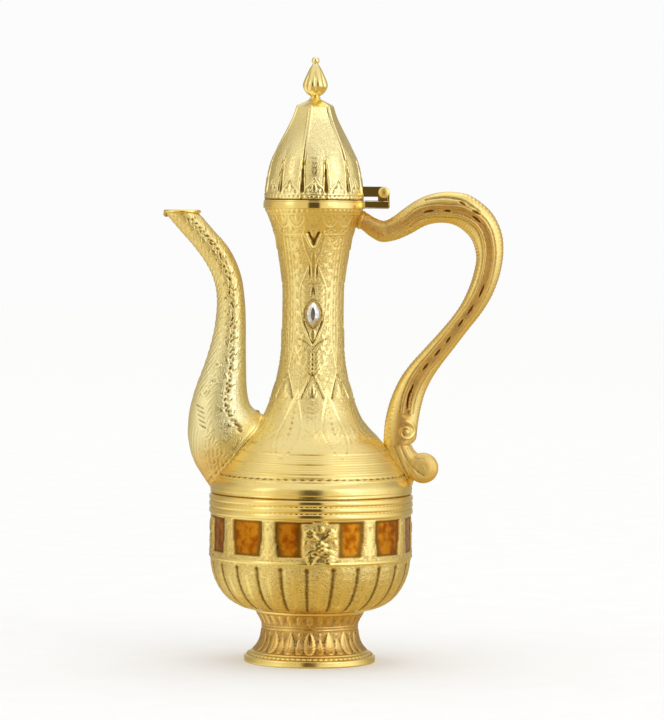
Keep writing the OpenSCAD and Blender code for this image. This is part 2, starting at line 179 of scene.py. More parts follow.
def beside(line):
    """Unit vectors to the left of a line, at each of its points."""
    way = np.gradient(line, axis=0)
    return np.column_stack([-way[:, 1], way[:, 0]]) / np.linalg.norm(way, axis=1, keepdims=True)


def outline(node):
    """The outer line of a turned CAD node, upwards, as [radius, height]."""
    mesh = frame["nodes"][node].data
    co = np.array([v.co for v in mesh.vertices]) / MM
    outer = set()
    for face in mesh.polygons:
        if face.normal.xy.dot(face.center.xy) > 0:
            outer.update(face.vertices)
    at = co[sorted(outer)]
    radius = np.hypot(at[:, 0], at[:, 1])
    level = np.round(at[:, 2], 2)
    whole = [z for z in np.unique(level) if (level == z).sum() >= WHOLE_RING]
    return np.array([(radius[level == z].max(), z) for z in whole])


def turned(line, count):
    """A grid of points made by turning a line; its columns start at the front."""
    angle = np.arange(count) * TAU / count
    return np.stack([
        line[:, :1] * np.sin(angle), -line[:, :1] * np.cos(angle), np.repeat(line[:, 1:], count, 1)
    ], axis=-1)


def outward(grid):
    """Unit normals of a grid that closes on itself in its columns."""
    down = np.gradient(grid, axis=0)
    over = np.roll(grid, -1, axis=1) - np.roll(grid, 1, axis=1)
    normal = np.cross(over, down)
    return normal / np.maximum(np.linalg.norm(normal, axis=-1, keepdims=True), 1e-9)


def soften(values, passes):
    """Values of a grid, averaged with their neighbours a number of times."""
    for _ in range(passes):
        rows = np.pad(values, ((1, 1), (0, 0)), mode="edge")
        values = (rows[:-2] + 2 * rows[1:-1] + rows[2:]) / 4
        values = (np.roll(values, 1, axis=1) + 2 * values + np.roll(values, -1, axis=1)) / 4
    return values


def step_up(low_edge, high_edge, value):
    """0 below the low edge and 1 above the high one, with a smooth change between."""
    t = np.clip((value - low_edge) / (high_edge - low_edge), 0, 1)
    return t * t * (3 - 2 * t)


def window(value, *edges):
    """1 between two pairs of edges and 0 outside them, with smooth changes."""
    return step_up(*edges[:2], value) * (1 - step_up(*edges[2:], value))


def hump(away, width):
    """A round form across a line, 1 on it and 0 from a width away."""
    return np.clip(1 - (away / width) ** 2, 0, None)


NECK_LINE = curve(outline("neck_shell"), 12)


def neck_radius(z):
    """The radius of the neck's outer face, and of the belt below it."""
    return np.interp(z, [JOINT_Z - 1e-3, *NECK_LINE[:, 1]], [BELT_R, *NECK_LINE[:, 0]])


# ---- relief

FULL_HOLLOW = 0.22       # a place this far below its surroundings is fully hollow
SURROUNDINGS = 10        # passes of softening that give the surroundings


class Relief:
    """Heights in millimetres over a surface, where x runs across it and y along it."""

    def __init__(self, x, y):
        self.x = x
        self.y = y
        self.height = np.zeros(x.shape)
        self.base = np.zeros(x.shape)        # the large shape that raised forms stand on
        self.worked = np.zeros(x.shape)      # 1 where a raised form covers the matted ground
        self.matte = np.zeros(x.shape)       # 1 where the ground is matted
        self.orange_reflection = np.zeros(x.shape)       # 1 where a painted orange reflection is
        self.satin = np.zeros(x.shape)       # 1 where the polish is soft
        self.pale = np.zeros(x.shape)        # 1 where the gold is paler; on the finial's top bead a painted highlight
        self.painted_shade = np.zeros(x.shape)       # 1 where painted shade darkens a seam

    def near(self, points, reach):
        """The cells within reach of a line, their distance from it and their share along it."""
        line = self.place(points)
        least = line.min(0) - reach
        most = line.max(0) + reach
        cells = (self.x > least[0]) & (self.x < most[0]) & (self.y > least[1]) & (self.y < most[1])
        x, y = self.x[cells], self.y[cells]
        away = np.full(x.shape, 1e9)
        share = np.zeros(x.shape)
        along = lengths(line)
        for start, end, done in zip(line[:-1], line[1:], along):
            step = end - start
            size = max(step @ step, 1e-9)
            t = np.clip(((x - start[0]) * step[0] + (y - start[1]) * step[1]) / size, 0, 1)
            d = np.hypot(x - start[0] - t * step[0], y - start[1] - t * step[1])
            closer = d < away
            away = np.where(closer, d, away)
            share = np.where(closer, (done + t * math.sqrt(size)) / max(along[-1], 1e-9), share)
        return cells, away, share

    def settle(self):
        """Makes the shape so far the ground that raised forms stand on."""
        self.base = self.height.copy()

    def lay(self, cells, form, height):
        """Raises cells to a form that covers what lies under it."""
        raised = np.maximum(self.height[cells], self.base[cells] + height * form)
        self.height[cells] = np.where(form > 0, raised, self.height[cells])
        self.worked[cells] = np.maximum(self.worked[cells], np.clip(form * 4, 0, 1))

    def stroke(self, points, width, taper=0.0, pointed=False):
        """The cells of a line, and a round form on them, as wide on each side as width."""
        cells, away, share = self.near(points, width)
        ends = np.clip(np.sin(math.pi * share), 1e-3, 1) ** 0.6 if pointed else 1 - taper * share
        return cells, hump(away, width * ends)

    def ridge(self, points, width, height, taper=0.0):
        self.lay(*self.stroke(points, width, taper), height)

    def groove(self, points, width, depth, taper=0.0):
        cells, form = self.stroke(points, width, taper)
        self.height[cells] -= depth * form

    def slot(self, points, width, depth):
        """A groove that is pointed at both ends."""
        cells, form = self.stroke(points, width, pointed=True)
        self.height[cells] -= depth * form

    def leaf(self, points, width, height, veins=5):
        """A veined leaf along a line, from its stalk to its tip."""
        cells, away, share = self.near(points, width)
        half = width * np.clip(np.sin(math.pi * share**0.75), 1e-3, 1) ** 0.75
        q = away / half
        dome = np.clip(1 - q**2, 0, None) ** 0.7
        middle = 0.45 * np.exp(-((away / 0.28) ** 2))
        side = 0.22 * np.clip(np.sin(TAU * (veins * share - 0.9 * q)), 0, None) * np.clip(q, 0, 1)
        self.lay(cells, np.clip(dome - middle - side, 0, None) * (q < 1), height)

    def sprig(self, points, width, height):
        """A small bent leaf with two veins."""
        self.leaf(curve(points, 4), width, height, veins=2)

    def dot(self, x, y, radius, height):
        cells, away, _ = self.near([[x, y], [x, y + 1e-3]], radius)
        self.lay(cells, np.sqrt(hump(away, radius)), height)

    def flower(self, x, y, radius, height, petals=5):
        """Round petals about a raised middle."""
        for k in range(petals):
            a = TAU * k / petals
            at = x + 0.62 * radius * math.sin(a), y + 0.62 * radius * math.cos(a)
            self.dot(*at, 0.42 * radius, height)
        self.dot(x, y, 0.3 * radius, height * 1.25)

    def scroll(self, center, radius, start, turns, width, height):
        """A spiral from the outside in, its start in degrees from +X; turns may be negative."""
        line = spiral(center, radius, start, turns, 0.85, int(18 * abs(turns)) + 4)
        self.ridge(line, width, height, taper=0.4)
        self.dot(center[0], center[1], width * 1.3, height * 1.1)

    def vine(self, points, pitch, leaf, width, height):
        """A stem with curling leaves to its left and right in turn."""
        line = curve(points, 8)
        self.ridge(line, 0.4, height * 0.8)
        along = lengths(line)
        for k, at in enumerate(np.arange(0.6 * pitch, along[-1] - 0.3 * pitch, pitch)):
            foot, ahead = (
                np.array([np.interp(d, along, column) for column in line.T]) for d in (at, at + 0.5)
            )
            way = (ahead - foot) / max(np.linalg.norm(ahead - foot), 1e-9)
            side = np.array([-way[1], way[0]]) * (1 if k % 2 else -1)
            middle = foot + leaf * (0.42 * side + 0.22 * way)
            tip = foot + leaf * (0.55 * side + 0.72 * way)
            self.leaf(curve([foot, middle, tip], 4), width, height, veins=3)

    def mat(self, where, amount=0.05):
        """Punched matting on the ground that no raised form covers."""
        ground = where * (1 - self.worked)
        self.matte = np.maximum(self.matte, ground)
        self.height += ground * random.uniform(-amount, amount, self.x.shape)

    def marks(self):
        """What the gold reads; hollow is 1 in a hollow and -1 on a crest, and it darkens hollows and
        seams with painted shade.
        """
        hollow = (soften(self.height, SURROUNDINGS) - self.height) / FULL_HOLLOW
        hollow = np.maximum(soften(np.clip(hollow, -1, 1), 1), self.painted_shade)
        return {"hollow": hollow, "matte": self.matte, "orange_reflection": self.orange_reflection, "satin": self.satin,
                "pale": self.pale}


class TurnedRelief(Relief):
    """Relief on a turned surface. Drawn points are [millimetres from the sector's middle, z]."""

    def __init__(self, line, count):
        self.line = line
        self.angle = np.arange(count)[None, :] * TAU / count
        self.radius = line[:, :1]
        self.zero = 0.0                      # where the z of drawn points counts from
        self.z = np.repeat(line[:, 1:], count, 1)
        y = np.repeat(lengths(line)[:, None], count, 1)
        super().__init__(np.zeros(y.shape), y)
        self.sector(1)

    def folded(self, count, phase=0.0):
        """The angle from the middle of the nearest of a number of equal sectors."""
        wide = TAU / count
        return ((self.angle / wide + 0.5 + phase) % 1 - 0.5) * wide

    def sector(self, count, phase=0.0):
        """From here on, drawing repeats in so many sectors, each with its mirror image."""
        self.x = np.abs(self.folded(count, phase)) * self.radius

    def place(self, points):
        """Drawn points as x and y on the surface."""
        p = np.array(points, float)
        order = np.argsort(self.line[:, 1])
        p[:, 1] = np.interp(p[:, 1] + self.zero, self.line[order, 1], lengths(self.line)[order])
        return p

    def band(self, z, width, height):
        """A rounded ridge all the way round, or with a negative height a groove."""
        middle = self.place([[0, z]])[0, 1]
        form = hump(self.y - middle, width)
        self.height += height * form
        if height > 0:
            self.worked = np.maximum(self.worked, np.clip(form * 3, 0, 1))

    def beads(self, z, count, radius, height):
        """A row of round beads."""
        self.sector(count)
        self.dot(0, z, radius, height)

    def between(self, bottom, top, edge=0.5):
        """1 between two heights, which count from the table."""
        return window(self.z, bottom - edge, bottom + edge, top - edge, top + edge)


class SweptRelief(Relief):
    """Relief on a swept surface. Drawn points are [x, z] in the plane of symmetry."""

    def __init__(self, sweep, across, along):
        self.sweep = sweep
        girth = np.interp(along, sweep.length, sweep.girth)
        super().__init__((1 - across / (math.pi / 2)) * girth, along)

    def place(self, points):
        """Drawn points as x and y on the surface."""
        p = np.asarray(points, float)
        nearest = np.linalg.norm(p[:, None] - self.sweep.middle[None], axis=-1).argmin(1)
        half = self.sweep.half[nearest]
        out = ((p - self.sweep.middle[nearest]) * half).sum(1) / (half * half).sum(1)
        share = 1 - np.arccos(np.clip(out, -0.999, 0.999)) / (math.pi / 2)
        return np.column_stack([share * self.sweep.girth[nearest], self.sweep.length[nearest]])


def sections(middle, half, wide, angle):
    """Points of elliptical sections at a number of angles; angle 0 is the outer end."""
    return np.stack([
        middle[:, :1] + half[:, :1] * np.cos(angle),
        -wide[:, None] * np.sin(angle),
        middle[:, 1:] + half[:, 1:] * np.cos(angle),
    ], axis=-1)


class Sweep:
    """Elliptical sections along a path, made thinner all round."""

    def __init__(self, path, thinner=0.0):
        rows = curve(path, 40)
        outer, inner = rows[:, 0:2], rows[:, 2:4]
        self.middle = (outer + inner) / 2
        self.half = (outer - inner) / 2
        size = np.linalg.norm(self.half, axis=1, keepdims=True)
        self.half = self.half * (1 - thinner / size)
        self.wide = rows[:, 4] - thinner
        self.length = lengths(self.middle)
        self.girth = math.pi / 4 * (size[:, 0] + self.wide)    # a quarter of the way round

    def cut(self, rows, count, root_share, top_z=None):
        """A grid from the neck's face to the end or to a level mouth, how far along the path
        each of its points is, and its angle from the outer end."""
        angle = (np.arange(count) + 0.5) * TAU / count
        full = sections(self.middle, self.half, self.wide, angle)
        inside = np.hypot(full[..., 0], full[..., 1]) - neck_radius(full[..., 2]) + SINK
        last = int(root_share * len(full))
        index = np.arange(len(full))
        grid = np.empty((rows, count, 3))
        along = np.empty((rows, count))
        for k in range(count):
            under = np.nonzero(inside[:last, k] < 0)[0]
            start = float(under[-1]) if len(under) else 0.0
            if len(under) and under[-1] + 1 < last:
                a, b = inside[under[-1], k], inside[under[-1] + 1, k]
                start += a / (a - b)
            end = len(full) - 1.0
            if top_z is not None:
                over = int(np.argmax(full[:, k, 2] > top_z))
                a, b = full[over - 1, k, 2], full[over, k, 2]
                end = over - 1 + (top_z - a) / (b - a)
            at = start + (end - start) * np.linspace(0, 1, rows)
            for axis in range(3):
                grid[:, k, axis] = np.interp(at, index, full[:, k, axis])
            along[:, k] = np.interp(at, index, self.length)
        return grid, along, np.minimum(angle, TAU - angle)[None, :]


# ---- meshes


def add_object(name, data):
    made = bpy.data.objects.new(name, data)
    bpy.context.scene.collection.objects.link(made)
    return made


def set_marks(mesh, marks):
    """Writes what the materials read at each vertex."""
    for key, values in marks.items():
        layer = mesh.attributes.new(key, "FLOAT", "POINT")
        values = np.broadcast_to(values, len(mesh.vertices)).astype(np.float32)
        layer.data.foreach_set("value", values)


def shade_smooth(mesh, smooth=True):
    mesh.polygons.foreach_set("use_smooth", np.full(len(mesh.polygons), smooth))


def new_mesh(name, points, faces, marks=None, smooth=True, sharp=50):
    """An object from points in millimetres and faces, turned inside in if it is inside out."""
    mesh = bpy.data.meshes.new(name)
    mesh.from_pydata((np.asarray(points) * MM).tolist(), [], faces)
    set_marks(mesh, marks or {})
    if volume(mesh) < 0:
        mesh.flip_normals()
    shade_smooth(mesh, smooth)
    if smooth:
        mesh.set_sharp_from_angle(angle=math.radians(sharp))
    mesh.update()
    return add_object(name, mesh)


def volume(mesh):
    """The signed volume inside a closed mesh."""
    mesh.calc_loop_triangles()
    corners = np.empty(len(mesh.loop_triangles) * 3, np.int64)
    mesh.loop_triangles.foreach_get("vertices", corners)
    a, b, c = vertices(mesh)[corners].reshape(-1, 3, 3).transpose(1, 0, 2)
    return float((a * np.cross(b, c)).sum()) / 6


def vertices(mesh):
    co = np.empty(len(mesh.vertices) * 3)
    mesh.vertices.foreach_get("co", co)
    return co.reshape(-1, 3)


def skin(name, grid, marks=None, loop=True, sharp=50):
    """A closed mesh over a grid that goes round in its columns. A loop also goes round in its
    rows, and anything else gets an end over its first and its last row."""
    rows, count = grid.shape[:2]
    index = np.arange(rows * count).reshape(rows, count)
    here = index if loop else index[:-1]
    above = np.roll(index, -1, axis=0) if loop else index[1:]
    quads = np.stack([here, np.roll(here, -1, 1), np.roll(above, -1, 1), above], axis=-1)
    faces = quads.reshape(-1, 4).tolist()
    points = grid.reshape(-1, 3)
    marks = {key: np.broadcast_to(v, (rows, count)).ravel() for key, v in (marks or {}).items()}
    if not loop:
        points = np.vstack([points, grid[0].mean(0), grid[-1].mean(0)])
        marks = {key: np.append(values, [0, 0]) for key, values in marks.items()}
        first, last = rows * count, rows * count + 1
        faces += [[(k + 1) % count, k, first] for k in range(count)]
        faces += [[first - count + k, first - count + (k + 1) % count, last] for k in range(count)]
    return new_mesh(name, points, faces, marks, sharp=sharp)


def shell(name, outer, relief, inner, deepest=math.inf, **how):
    """A wall: an outer grid that carries relief, and the inner grid that comes back."""
    outer = outer + outward(outer) * np.maximum(relief.height, -deepest)[..., None]
    marks = {key: np.pad(values, ((0, len(inner)), (0, 0))) for key, values in relief.marks().items()}
    return skin(name, np.concatenate([outer, inner]), marks, **how)


def turned_shell(name, relief, inner, deepest=1.2, **how):
    """A turned wall with relief outside and a plain inner line."""
    outer, inner = (turned(np.array(line), relief.x.shape[1]) for line in (relief.line, inner))
    return shell(name, outer, relief, inner, deepest, **how)


def extruded(name, profile, half_wide, bevel, segments=3):
    """A plate: an outline in XZ, given thickness along Y and rounded edges."""
    made = bmesh.new()
    front = [made.verts.new((x * MM, -half_wide * MM, z * MM)) for x, z in profile]
    back = bmesh.ops.extrude_face_region(made, geom=[made.faces.new(front)])
    moved = [v for v in back["geom"] if isinstance(v, bmesh.types.BMVert)]
    bmesh.ops.translate(made, verts=moved, vec=(0, 2 * half_wide * MM, 0))
    bmesh.ops.recalc_face_normals(made, faces=made.faces)
    edges = [e for e in made.edges if e.calc_face_angle(0) > math.radians(30)]
    bmesh.ops.bevel(made, geom=edges, offset=bevel * MM, segments=segments, affect="EDGES",
                    clamp_overlap=True)
    mesh = bpy.data.meshes.new(name)
    made.to_mesh(mesh)
    made.free()
    return add_object(name, mesh)


def modify(piece, kind, **values):
    """Applies a modifier to a piece."""
    change = piece.modifiers.new("change", kind)
    for key, value in values.items():
        setattr(change, key, value)
    with bpy.context.temp_override(object=piece, active_object=piece):
        bpy.ops.object.modifier_apply(modifier="change")
    return piece


def flat_faced(piece):
    """Shades rounded edges smoothly and keeps wide faces flat."""
    shade_smooth(piece.data)
    piece.data.set_sharp_from_angle(angle=math.radians(40))
    return modify(piece, "WEIGHTED_NORMAL", keep_sharp=True, weight=100)


def cut_with(piece, cutter, operation="DIFFERENCE"):
    """Cuts one closed mesh with another, or adds it, and removes the other."""
    modify(piece, "BOOLEAN", operation=operation, object=cutter, solver="EXACT")
    bpy.data.objects.remove(cutter)
    return piece


def join(name, pieces):
    """One object from several."""
    with bpy.context.temp_override(
        active_object=pieces[0], selected_editable_objects=pieces, selected_objects=pieces
    ):
        bpy.ops.object.join()
    pieces[0].name = name
    pieces[0].data.name = name
    return pieces[0]


def crosswise(name, profile, x, z, count, **how):
    """A closed shape turned about an axis along Y, from [radius, y] for each of its rows."""
    angle = np.arange(count) * TAU / count
    grid = [[(x + r * math.cos(a), y, z + r * math.sin(a)) for a in angle] for r, y in profile]
    return skin(name, np.array(grid), loop=False, **how)


def drum(x, z, radius, half_wide, edge=0.0):
    """A drum about an axis along Y, with rounded edges."""
    rim = [(radius, 0)]
    if edge:
        rim = [(radius - edge + edge * math.cos(a), edge - edge * math.sin(a))
               for a in np.linspace(math.pi / 2, 0, 5)]
    rim = [(r, h - half_wide) for r, h in rim]
    return crosswise("drum", rim + [(r, -y) for r, y in reversed(rim)], x, z, 48, sharp=35)


# ---- materials


class Nodes:
    """Builds a node tree."""

    def __init__(self, tree):
        self.tree = tree

    def feed(self, socket, value):
        """Joins a socket to another, or sets it to a constant."""
        if isinstance(value, bpy.types.NodeSocket):
            self.tree.links.new(value, socket)
        else:
            socket.default_value = value

    def add(self, kind, inputs, output, **values):
        """One output of a new node, with the node's inputs and its properties."""
        made = self.tree.nodes.new(kind)
        for key, value in values.items():
            setattr(made, key, value)
        for key, value in inputs.items():
            self.feed(made.inputs[key], value)
        return made.outputs[output]

    def mark(self, name):
        """A mark painted on the mesh, such as its hollows."""
        return self.add("ShaderNodeAttribute", {}, "Fac", attribute_name=name)

    def place(self, output="Object"):
        return self.add("ShaderNodeTexCoord", {}, output)

    def noise(self, scale, detail=2.0, stretch=(1, 1, 1)):
        """Noise in the pot's own frame; scale is in bumps per metre."""
        place = self.add("ShaderNodeMapping", {"Vector": self.place(), "Scale": stretch}, "Vector")
        inputs = {"Scale": scale, "Detail": detail, "Vector": place}
        return self.add("ShaderNodeTexNoise", inputs, "Fac")

    def curls(self, scale):
        """Fine engraved curls: rings round scattered points, bent by noise; 1 is uncut metal."""
        place = self.place()
        bend = self.add("ShaderNodeTexNoise", {"Scale": scale * 0.7, "Vector": place}, "Color")
        moved = self.add("ShaderNodeVectorMath", {0: bend, 1: (0.9 / scale,) * 3, 2: place}, 0,
                         operation="MULTIPLY_ADD")
        cells = self.add("ShaderNodeTexVoronoi", {"Scale": scale, "Vector": moved}, "Distance")
        return self.fit(self.math("SINE", self.math("MULTIPLY", cells, 16), 0), -0.75, 0.35)

    def math(self, operation, a, b):
        return self.add("ShaderNodeMath", {0: a, 1: b}, 0, operation=operation)

    def fit(self, value, low_in, high_in, low_out=0, high_out=1):
        """A smooth change from one value to another."""
        inputs = {"Value": value, "From Min": low_in, "From Max": high_in, "To Min": low_out,
                  "To Max": high_out}
        return self.add("ShaderNodeMapRange", inputs, "Result", interpolation_type="SMOOTHSTEP")

    def mix(self, share, *colors):
        """A colour between two, each a colour or a socket."""
        a, b = ((*color, 1) if isinstance(color, tuple) else color for color in colors)
        return self.add("ShaderNodeMix", {"Factor": share, 6: a, 7: b}, 2, data_type="RGBA")

    def bump(self, height, strength, distance, **under):
        """Bumps as deep as distance, in millimetres."""
        inputs = {"Distance": distance * MM, "Strength": strength, "Height": height, **under}
        return self.add("ShaderNodeBump", inputs, "Normal")


class Shader(Nodes):
    """Builds a material round its Principled shader."""

    def __init__(self, name):
        self.material = bpy.data.materials.new(name)
        self.material.use_nodes = True
        super().__init__(self.material.node_tree)

    def finish(self, inputs):
        for key, value in inputs.items():
            self.feed(self.tree.nodes["Principled BSDF"].inputs[key], value)
        return self.material


GOLD = (0.97, 0.80, 0.36)
# The deep gold below is the painted shade of hollows and engraved cuts.
GOLD_SHADE = (0.22, 0.12, 0.02)
GOLD_RICH = (0.95, 0.71, 0.25)
GOLD_PALE = (0.98, 0.92, 0.60)
# The two orange colours below are a painted reflection of warm gilt surroundings.
REFLECTION_ORANGE = (0.62, 0.24, 0.015)
REFLECTION_ORANGE_DARK = (0.36, 0.09, 0.004)


def gold(name, roughness, shade_strength=1.0, planish=0.05):
    """Gold plate: bright crests and hollows darkened with painted shade, a ground of fine curled
    engraving whose cuts are darkened with painted shade, a painted orange reflection, paler or
    softer places where the mesh is marked, and a faintly uneven polish."""
    n = Shader(name)
    hollow, matte = n.mark("hollow"), n.mark("matte")
    curls = n.curls(430)
    base = n.mix(n.fit(n.noise(90, 3), 0.35, 0.7, 0, 0.45), GOLD, GOLD_RICH)
    base = n.mix(n.mark("pale"), base, GOLD_PALE)
    reflected_orange = n.mix(n.fit(n.noise(230, 3), 0.36, 0.62), REFLECTION_ORANGE_DARK, REFLECTION_ORANGE)
    base = n.mix(n.mark("orange_reflection"), base, reflected_orange)
    # Painted shade in the engraved cuts of the matted ground.
    cut = n.math("MULTIPLY", n.math("SUBTRACT", 1, curls), n.math("MULTIPLY", matte, 0.34))
    worn = n.math("MULTIPLY", n.math("SUBTRACT", n.noise(900), 0.5), 0.5)
    # Painted shade of hollows and cuts, with random wear noise added.
    painted_shade = n.math("ADD", n.math("MAXIMUM", hollow, cut), worn)
    dull = n.fit(hollow, 0, 1, roughness, roughness + 0.16)
    dull = n.math("ADD", n.math("MULTIPLY", matte, 0.16), dull)
    dull = n.math("ADD", dull, n.math("MULTIPLY", n.mark("satin"), 0.3))
    wavy = n.bump(n.noise(260, 1), planish, 0.35)
    cuts = n.bump(curls, n.math("MULTIPLY", matte, 0.8), 0.16, Normal=wavy)
    return n.finish({
        "Base Color": n.mix(n.fit(painted_shade, 0.1, 0.85, 0, shade_strength), base, GOLD_SHADE),
        "Roughness": n.math("ADD", dull, n.fit(n.noise(350), 0.3, 0.7, 0, 0.07)),
        "Normal": n.bump(n.noise(2300, 1), n.math("MULTIPLY", matte, 0.5), 0.08, Normal=cuts),
        "Metallic": 1.0,
    })


def clouded(name, cloud, edge, light, dark, rough, grain, bump, **more):
    """A faintly clouded colour and polish with a fine grain."""
    n = Shader(name)
    noise = n.noise(*cloud)
    return n.finish({
        "Base Color": n.mix(n.fit(noise, edge, 1 - edge), light, dark),
        "Roughness": n.fit(noise, 0.3, 0.7, *rough),
        "Normal": n.bump(n.noise(*grain), *bump),
        **{key.replace("_", " "): value for key, value in more.items()},
    })


MATERIALS = {
    "gold_engraved": gold("gold_engraved", 0.17),
    "gold_polished": gold("gold_polished", 0.07, shade_strength=0.8, planish=0.02),
    "gold_plain": gold("gold_plain", 0.2, shade_strength=0.7),
    "steel": clouded("steel", (240, 4), 0.3, (0.62, 0.62, 0.63), (0.48, 0.48, 0.49), (0.24, 0.42),
                     (3000, 2, (1, 1, 0.1)), (0.25, 0.05), Metallic=1.0),
    "seal": clouded("seal", (700, 3), 0.3, (0.66, 0.63, 0.57), (0.58, 0.55, 0.49), (0.5, 0.68),
                    (2500,), (0.3, 0.05)),
    "clear_stone": clouded("clear_stone", (420,), 0.35, (0.86, 0.87, 0.9), (0.62, 0.62, 0.68),
                           (0.03, 0.09), (420,), (0.05, 0.1), Metallic=0.9, Coat_Weight=1.0,
                           Coat_Roughness=0.02),
}


# ---- neck shell


def neck_swags(relief):
    """The border under the collar: beads, hanging swags and small drops."""
    relief.zero = NECK_TOP_Z
    relief.beads(-1.2, 56, 0.95, 0.28)
    relief.band(-2.7, 0.45, 0.2)
    relief.band(-12.6, 0.5, 0.14)
    relief.sector(16)
    swag = [[0, -9.2], [2.2, -8.2], [4.4, -4.4]]
    relief.ridge(curve(swag, 5), 0.55, 0.2)
    relief.ridge(curve([[x * 0.7, z + 1.9] for x, z in swag], 5), 0.35, 0.15)
    relief.leaf([[0, -3.3], [0, -7]], 1.1, 0.22, veins=3)
    relief.sector(16, phase=0.5)
    relief.dot(0, -4.2, 0.9, 0.26)
    relief.leaf([[0, -5], [0, -11.2]], 1.3, 0.22, veins=4)
    relief.sector(32, phase=0.25)
    relief.dot(0, -10.9, 0.6, 0.2)


def neck_panel(relief):
    """The panel round each gem, from the border down to the shoulder."""
    relief.zero = GEM_Z
    relief.sector(4)
    relief.groove([[0.3, 34.6], [2.5, 39.2]], 0.95, 1.1)
    relief.groove([[0, 33.6], [0, 36.2]], 1.1, 1.0)
    relief.ridge([[0, 31.4], [1.8, 33.6], [5.0, 39.8]], 0.6, 0.45)
    relief.leaf([[0, 41], [0, 37.4]], 1.2, 0.3, veins=3)

    ogee = [[5.8, 38.6], [3.8, 31], [1.6, 26], [3.4, 20], [6.2, 13.5], [6.8, 6], [5.2, -4],
            [2.6, -11], [0, -16.6]]
    relief.ridge(curve(ogee, 6), 0.5, 0.22)
    relief.leaf([[0, 30], [0, 15.5]], 1.7, 0.3, veins=7)
    for z in 10.5 + 1.25 * np.arange(12):
        relief.groove([[1.4, z], [6.4, z + 1.1]], 0.28, 0.12)
    relief.slot([[2.0, 25.4], [1.7, 16.4]], 0.5, 0.6)
    relief.groove([[0, 14.2], [3.2, 14.9]], 0.5, 0.5, taper=0.6)
    relief.slot([[0.2, 13.4], [0.7, 8.2]], 0.75, 0.7)
    for z in 12.6 - 2.9 * np.arange(5):
        relief.sprig([[3.0, z - 0.6], [4.5, z + 0.4], [5.7, z + 2.2]], 0.8, 0.2)

    relief.groove(curve([[4.6, -3.4], [2.6, -9], [0, -14.6]], 5), 0.55, 0.6)
    relief.leaf([[0, -7.6], [0, -13.6]], 1.8, 0.36, veins=4)
    setting = [[0, 7.0], [2.0, 4.9], [3.7, 2.1], [4.05, 0], [3.7, -2.1], [2.0, -4.9], [0, -7.0]]
    relief.groove(curve(setting, 5), 0.5, 0.35)
    relief.groove(curve([[0, -17.6], [2.4, -14.6], [6.4, -12.4]], 5), 0.45, 0.45)
    for z in -19.8 - 2.35 * np.arange(5):
        relief.slot([[0, z + 0.9], [0, z - 0.9]], 0.8, 0.65)
        relief.sprig([[0.9, z], [2.2, z + 0.6], [3.5, z + 2.0]], 0.75, 0.36)

    relief.vine([[7.6, 36], [9.6, 30], [7.0, 23], [9.4, 16], [9.2, 8], [8.6, 0], [9.2, -8]],
                2.9, 3.1, 0.95, 0.2)
    relief.vine([[1.4, -30], [4.4, -26], [6.8, -20], [5.2, -14.5], [7.4, -8]], 2.6, 2.9, 0.9, 0.24)
    relief.scroll((8.9, -17.4), 2.4, 200, 1.4, 0.45, 0.24)
    relief.scroll((11.6, 33.4), 2.5, 0, -1.4, 0.45, 0.2)


def neck_seams(relief):
    """The upright borders between the gem panels."""
    relief.zero = GEM_Z
    relief.sector(4, phase=0.5)
    relief.ridge([[2.3, 37.5], [1.7, 10], [2.0, -12], [0, -26]], 0.4, 0.2)
    for z in 35.2 - 3.9 * np.arange(15):
        relief.leaf([[0, z - 1.8], [0, z + 1.8]], 0.95, 0.2, veins=3)


def shoulder_petals(relief):
    """Eight pointed petals that widen down the shoulder, with lobes between them."""
    relief.zero = GEM_Z - 28.9
    relief.sector(8)
    relief.groove(curve([[0, 0], [2.6, -5.4], [6.0, -12.8]], 6), 0.6, 0.62)
    relief.groove(curve([[0, -2.6], [1.9, -6.6], [4.5, -12.2]], 5), 0.42, 0.36)
    relief.ridge([[0, 1.4], [1.3, -1.6], [3.6, -5.8], [6.9, -12.6]], 0.42, 0.2)
    relief.leaf([[0, -11.6], [0, -4.6]], 1.25, 0.4, veins=5)
    relief.sprig([[0.3, -12], [1.6, -10.4], [2.3, -8]], 0.7, 0.34)
    relief.dot(0, -13, 0.6, 0.35)
    relief.leaf([[0, -31.5], [0, -24.5]], 1.1, 0.22, veins=4)
    for k, turn in enumerate((0.8, 1.5, 2.2)):
        line = [[0.5, 0.6 * k - 31.5], [1.6 * turn, k - 29.7], [2.2 * turn, -27.5 - k]]
        relief.sprig(line, 0.8, 0.2)
    for k in range(4):
        z = 2.2 * k - 22
        relief.groove(curve([[0.5, z], [1.8, z + 0.9], [3.6 - 0.4 * k, z + 0.3]], 4), 0.35, 0.16, 0.5)
    relief.sector(8, phase=0.5)
    lobe = curve([[0, -8], [2.2, -15], [5.4, -24], [6.6, -31], [4.4, -38], [0, -41]], 6)
    relief.ridge(lobe, 0.7, 0.13)
    relief.groove([[x * 0.82, z + 0.4] for x, z in lobe], 0.5, 0.2)
    relief.slot([[0, -14], [0, -34]], 0.6, 0.25)
    for k in range(8):
        z = -16.5 - 2.5 * k
        reach = 0.8 + 0.42 * k if k < 6 else 3.4 - 0.6 * (k - 6)
        relief.groove(curve([[0.5, z], [reach * 0.6, z + 1.2], [reach, z + 3.0]], 4), 0.42, 0.18, 0.4)


def shoulder_bands(relief):
    """Fine rings, a row of dashes and a plain rounded band at the foot of the shoulder."""
    relief.zero = JOINT_Z
    for k in range(9):
        relief.band(12.2 + 1.12 * k, 0.42, 0.2 if k % 4 else 0.34)
    relief.sector(72)
    relief.groove([[0, 9.7], [1.15, 9.7]], 0.42, 0.55)
    for z, width, height in ((10.9, 0.45, 0.3), (8.4, 0.5, 0.3), (5.9, 2.7, 0.45), (1.8, 0.5, -0.25),
                             (0, 0.9, -0.75)):
        relief.band(z, width, height)


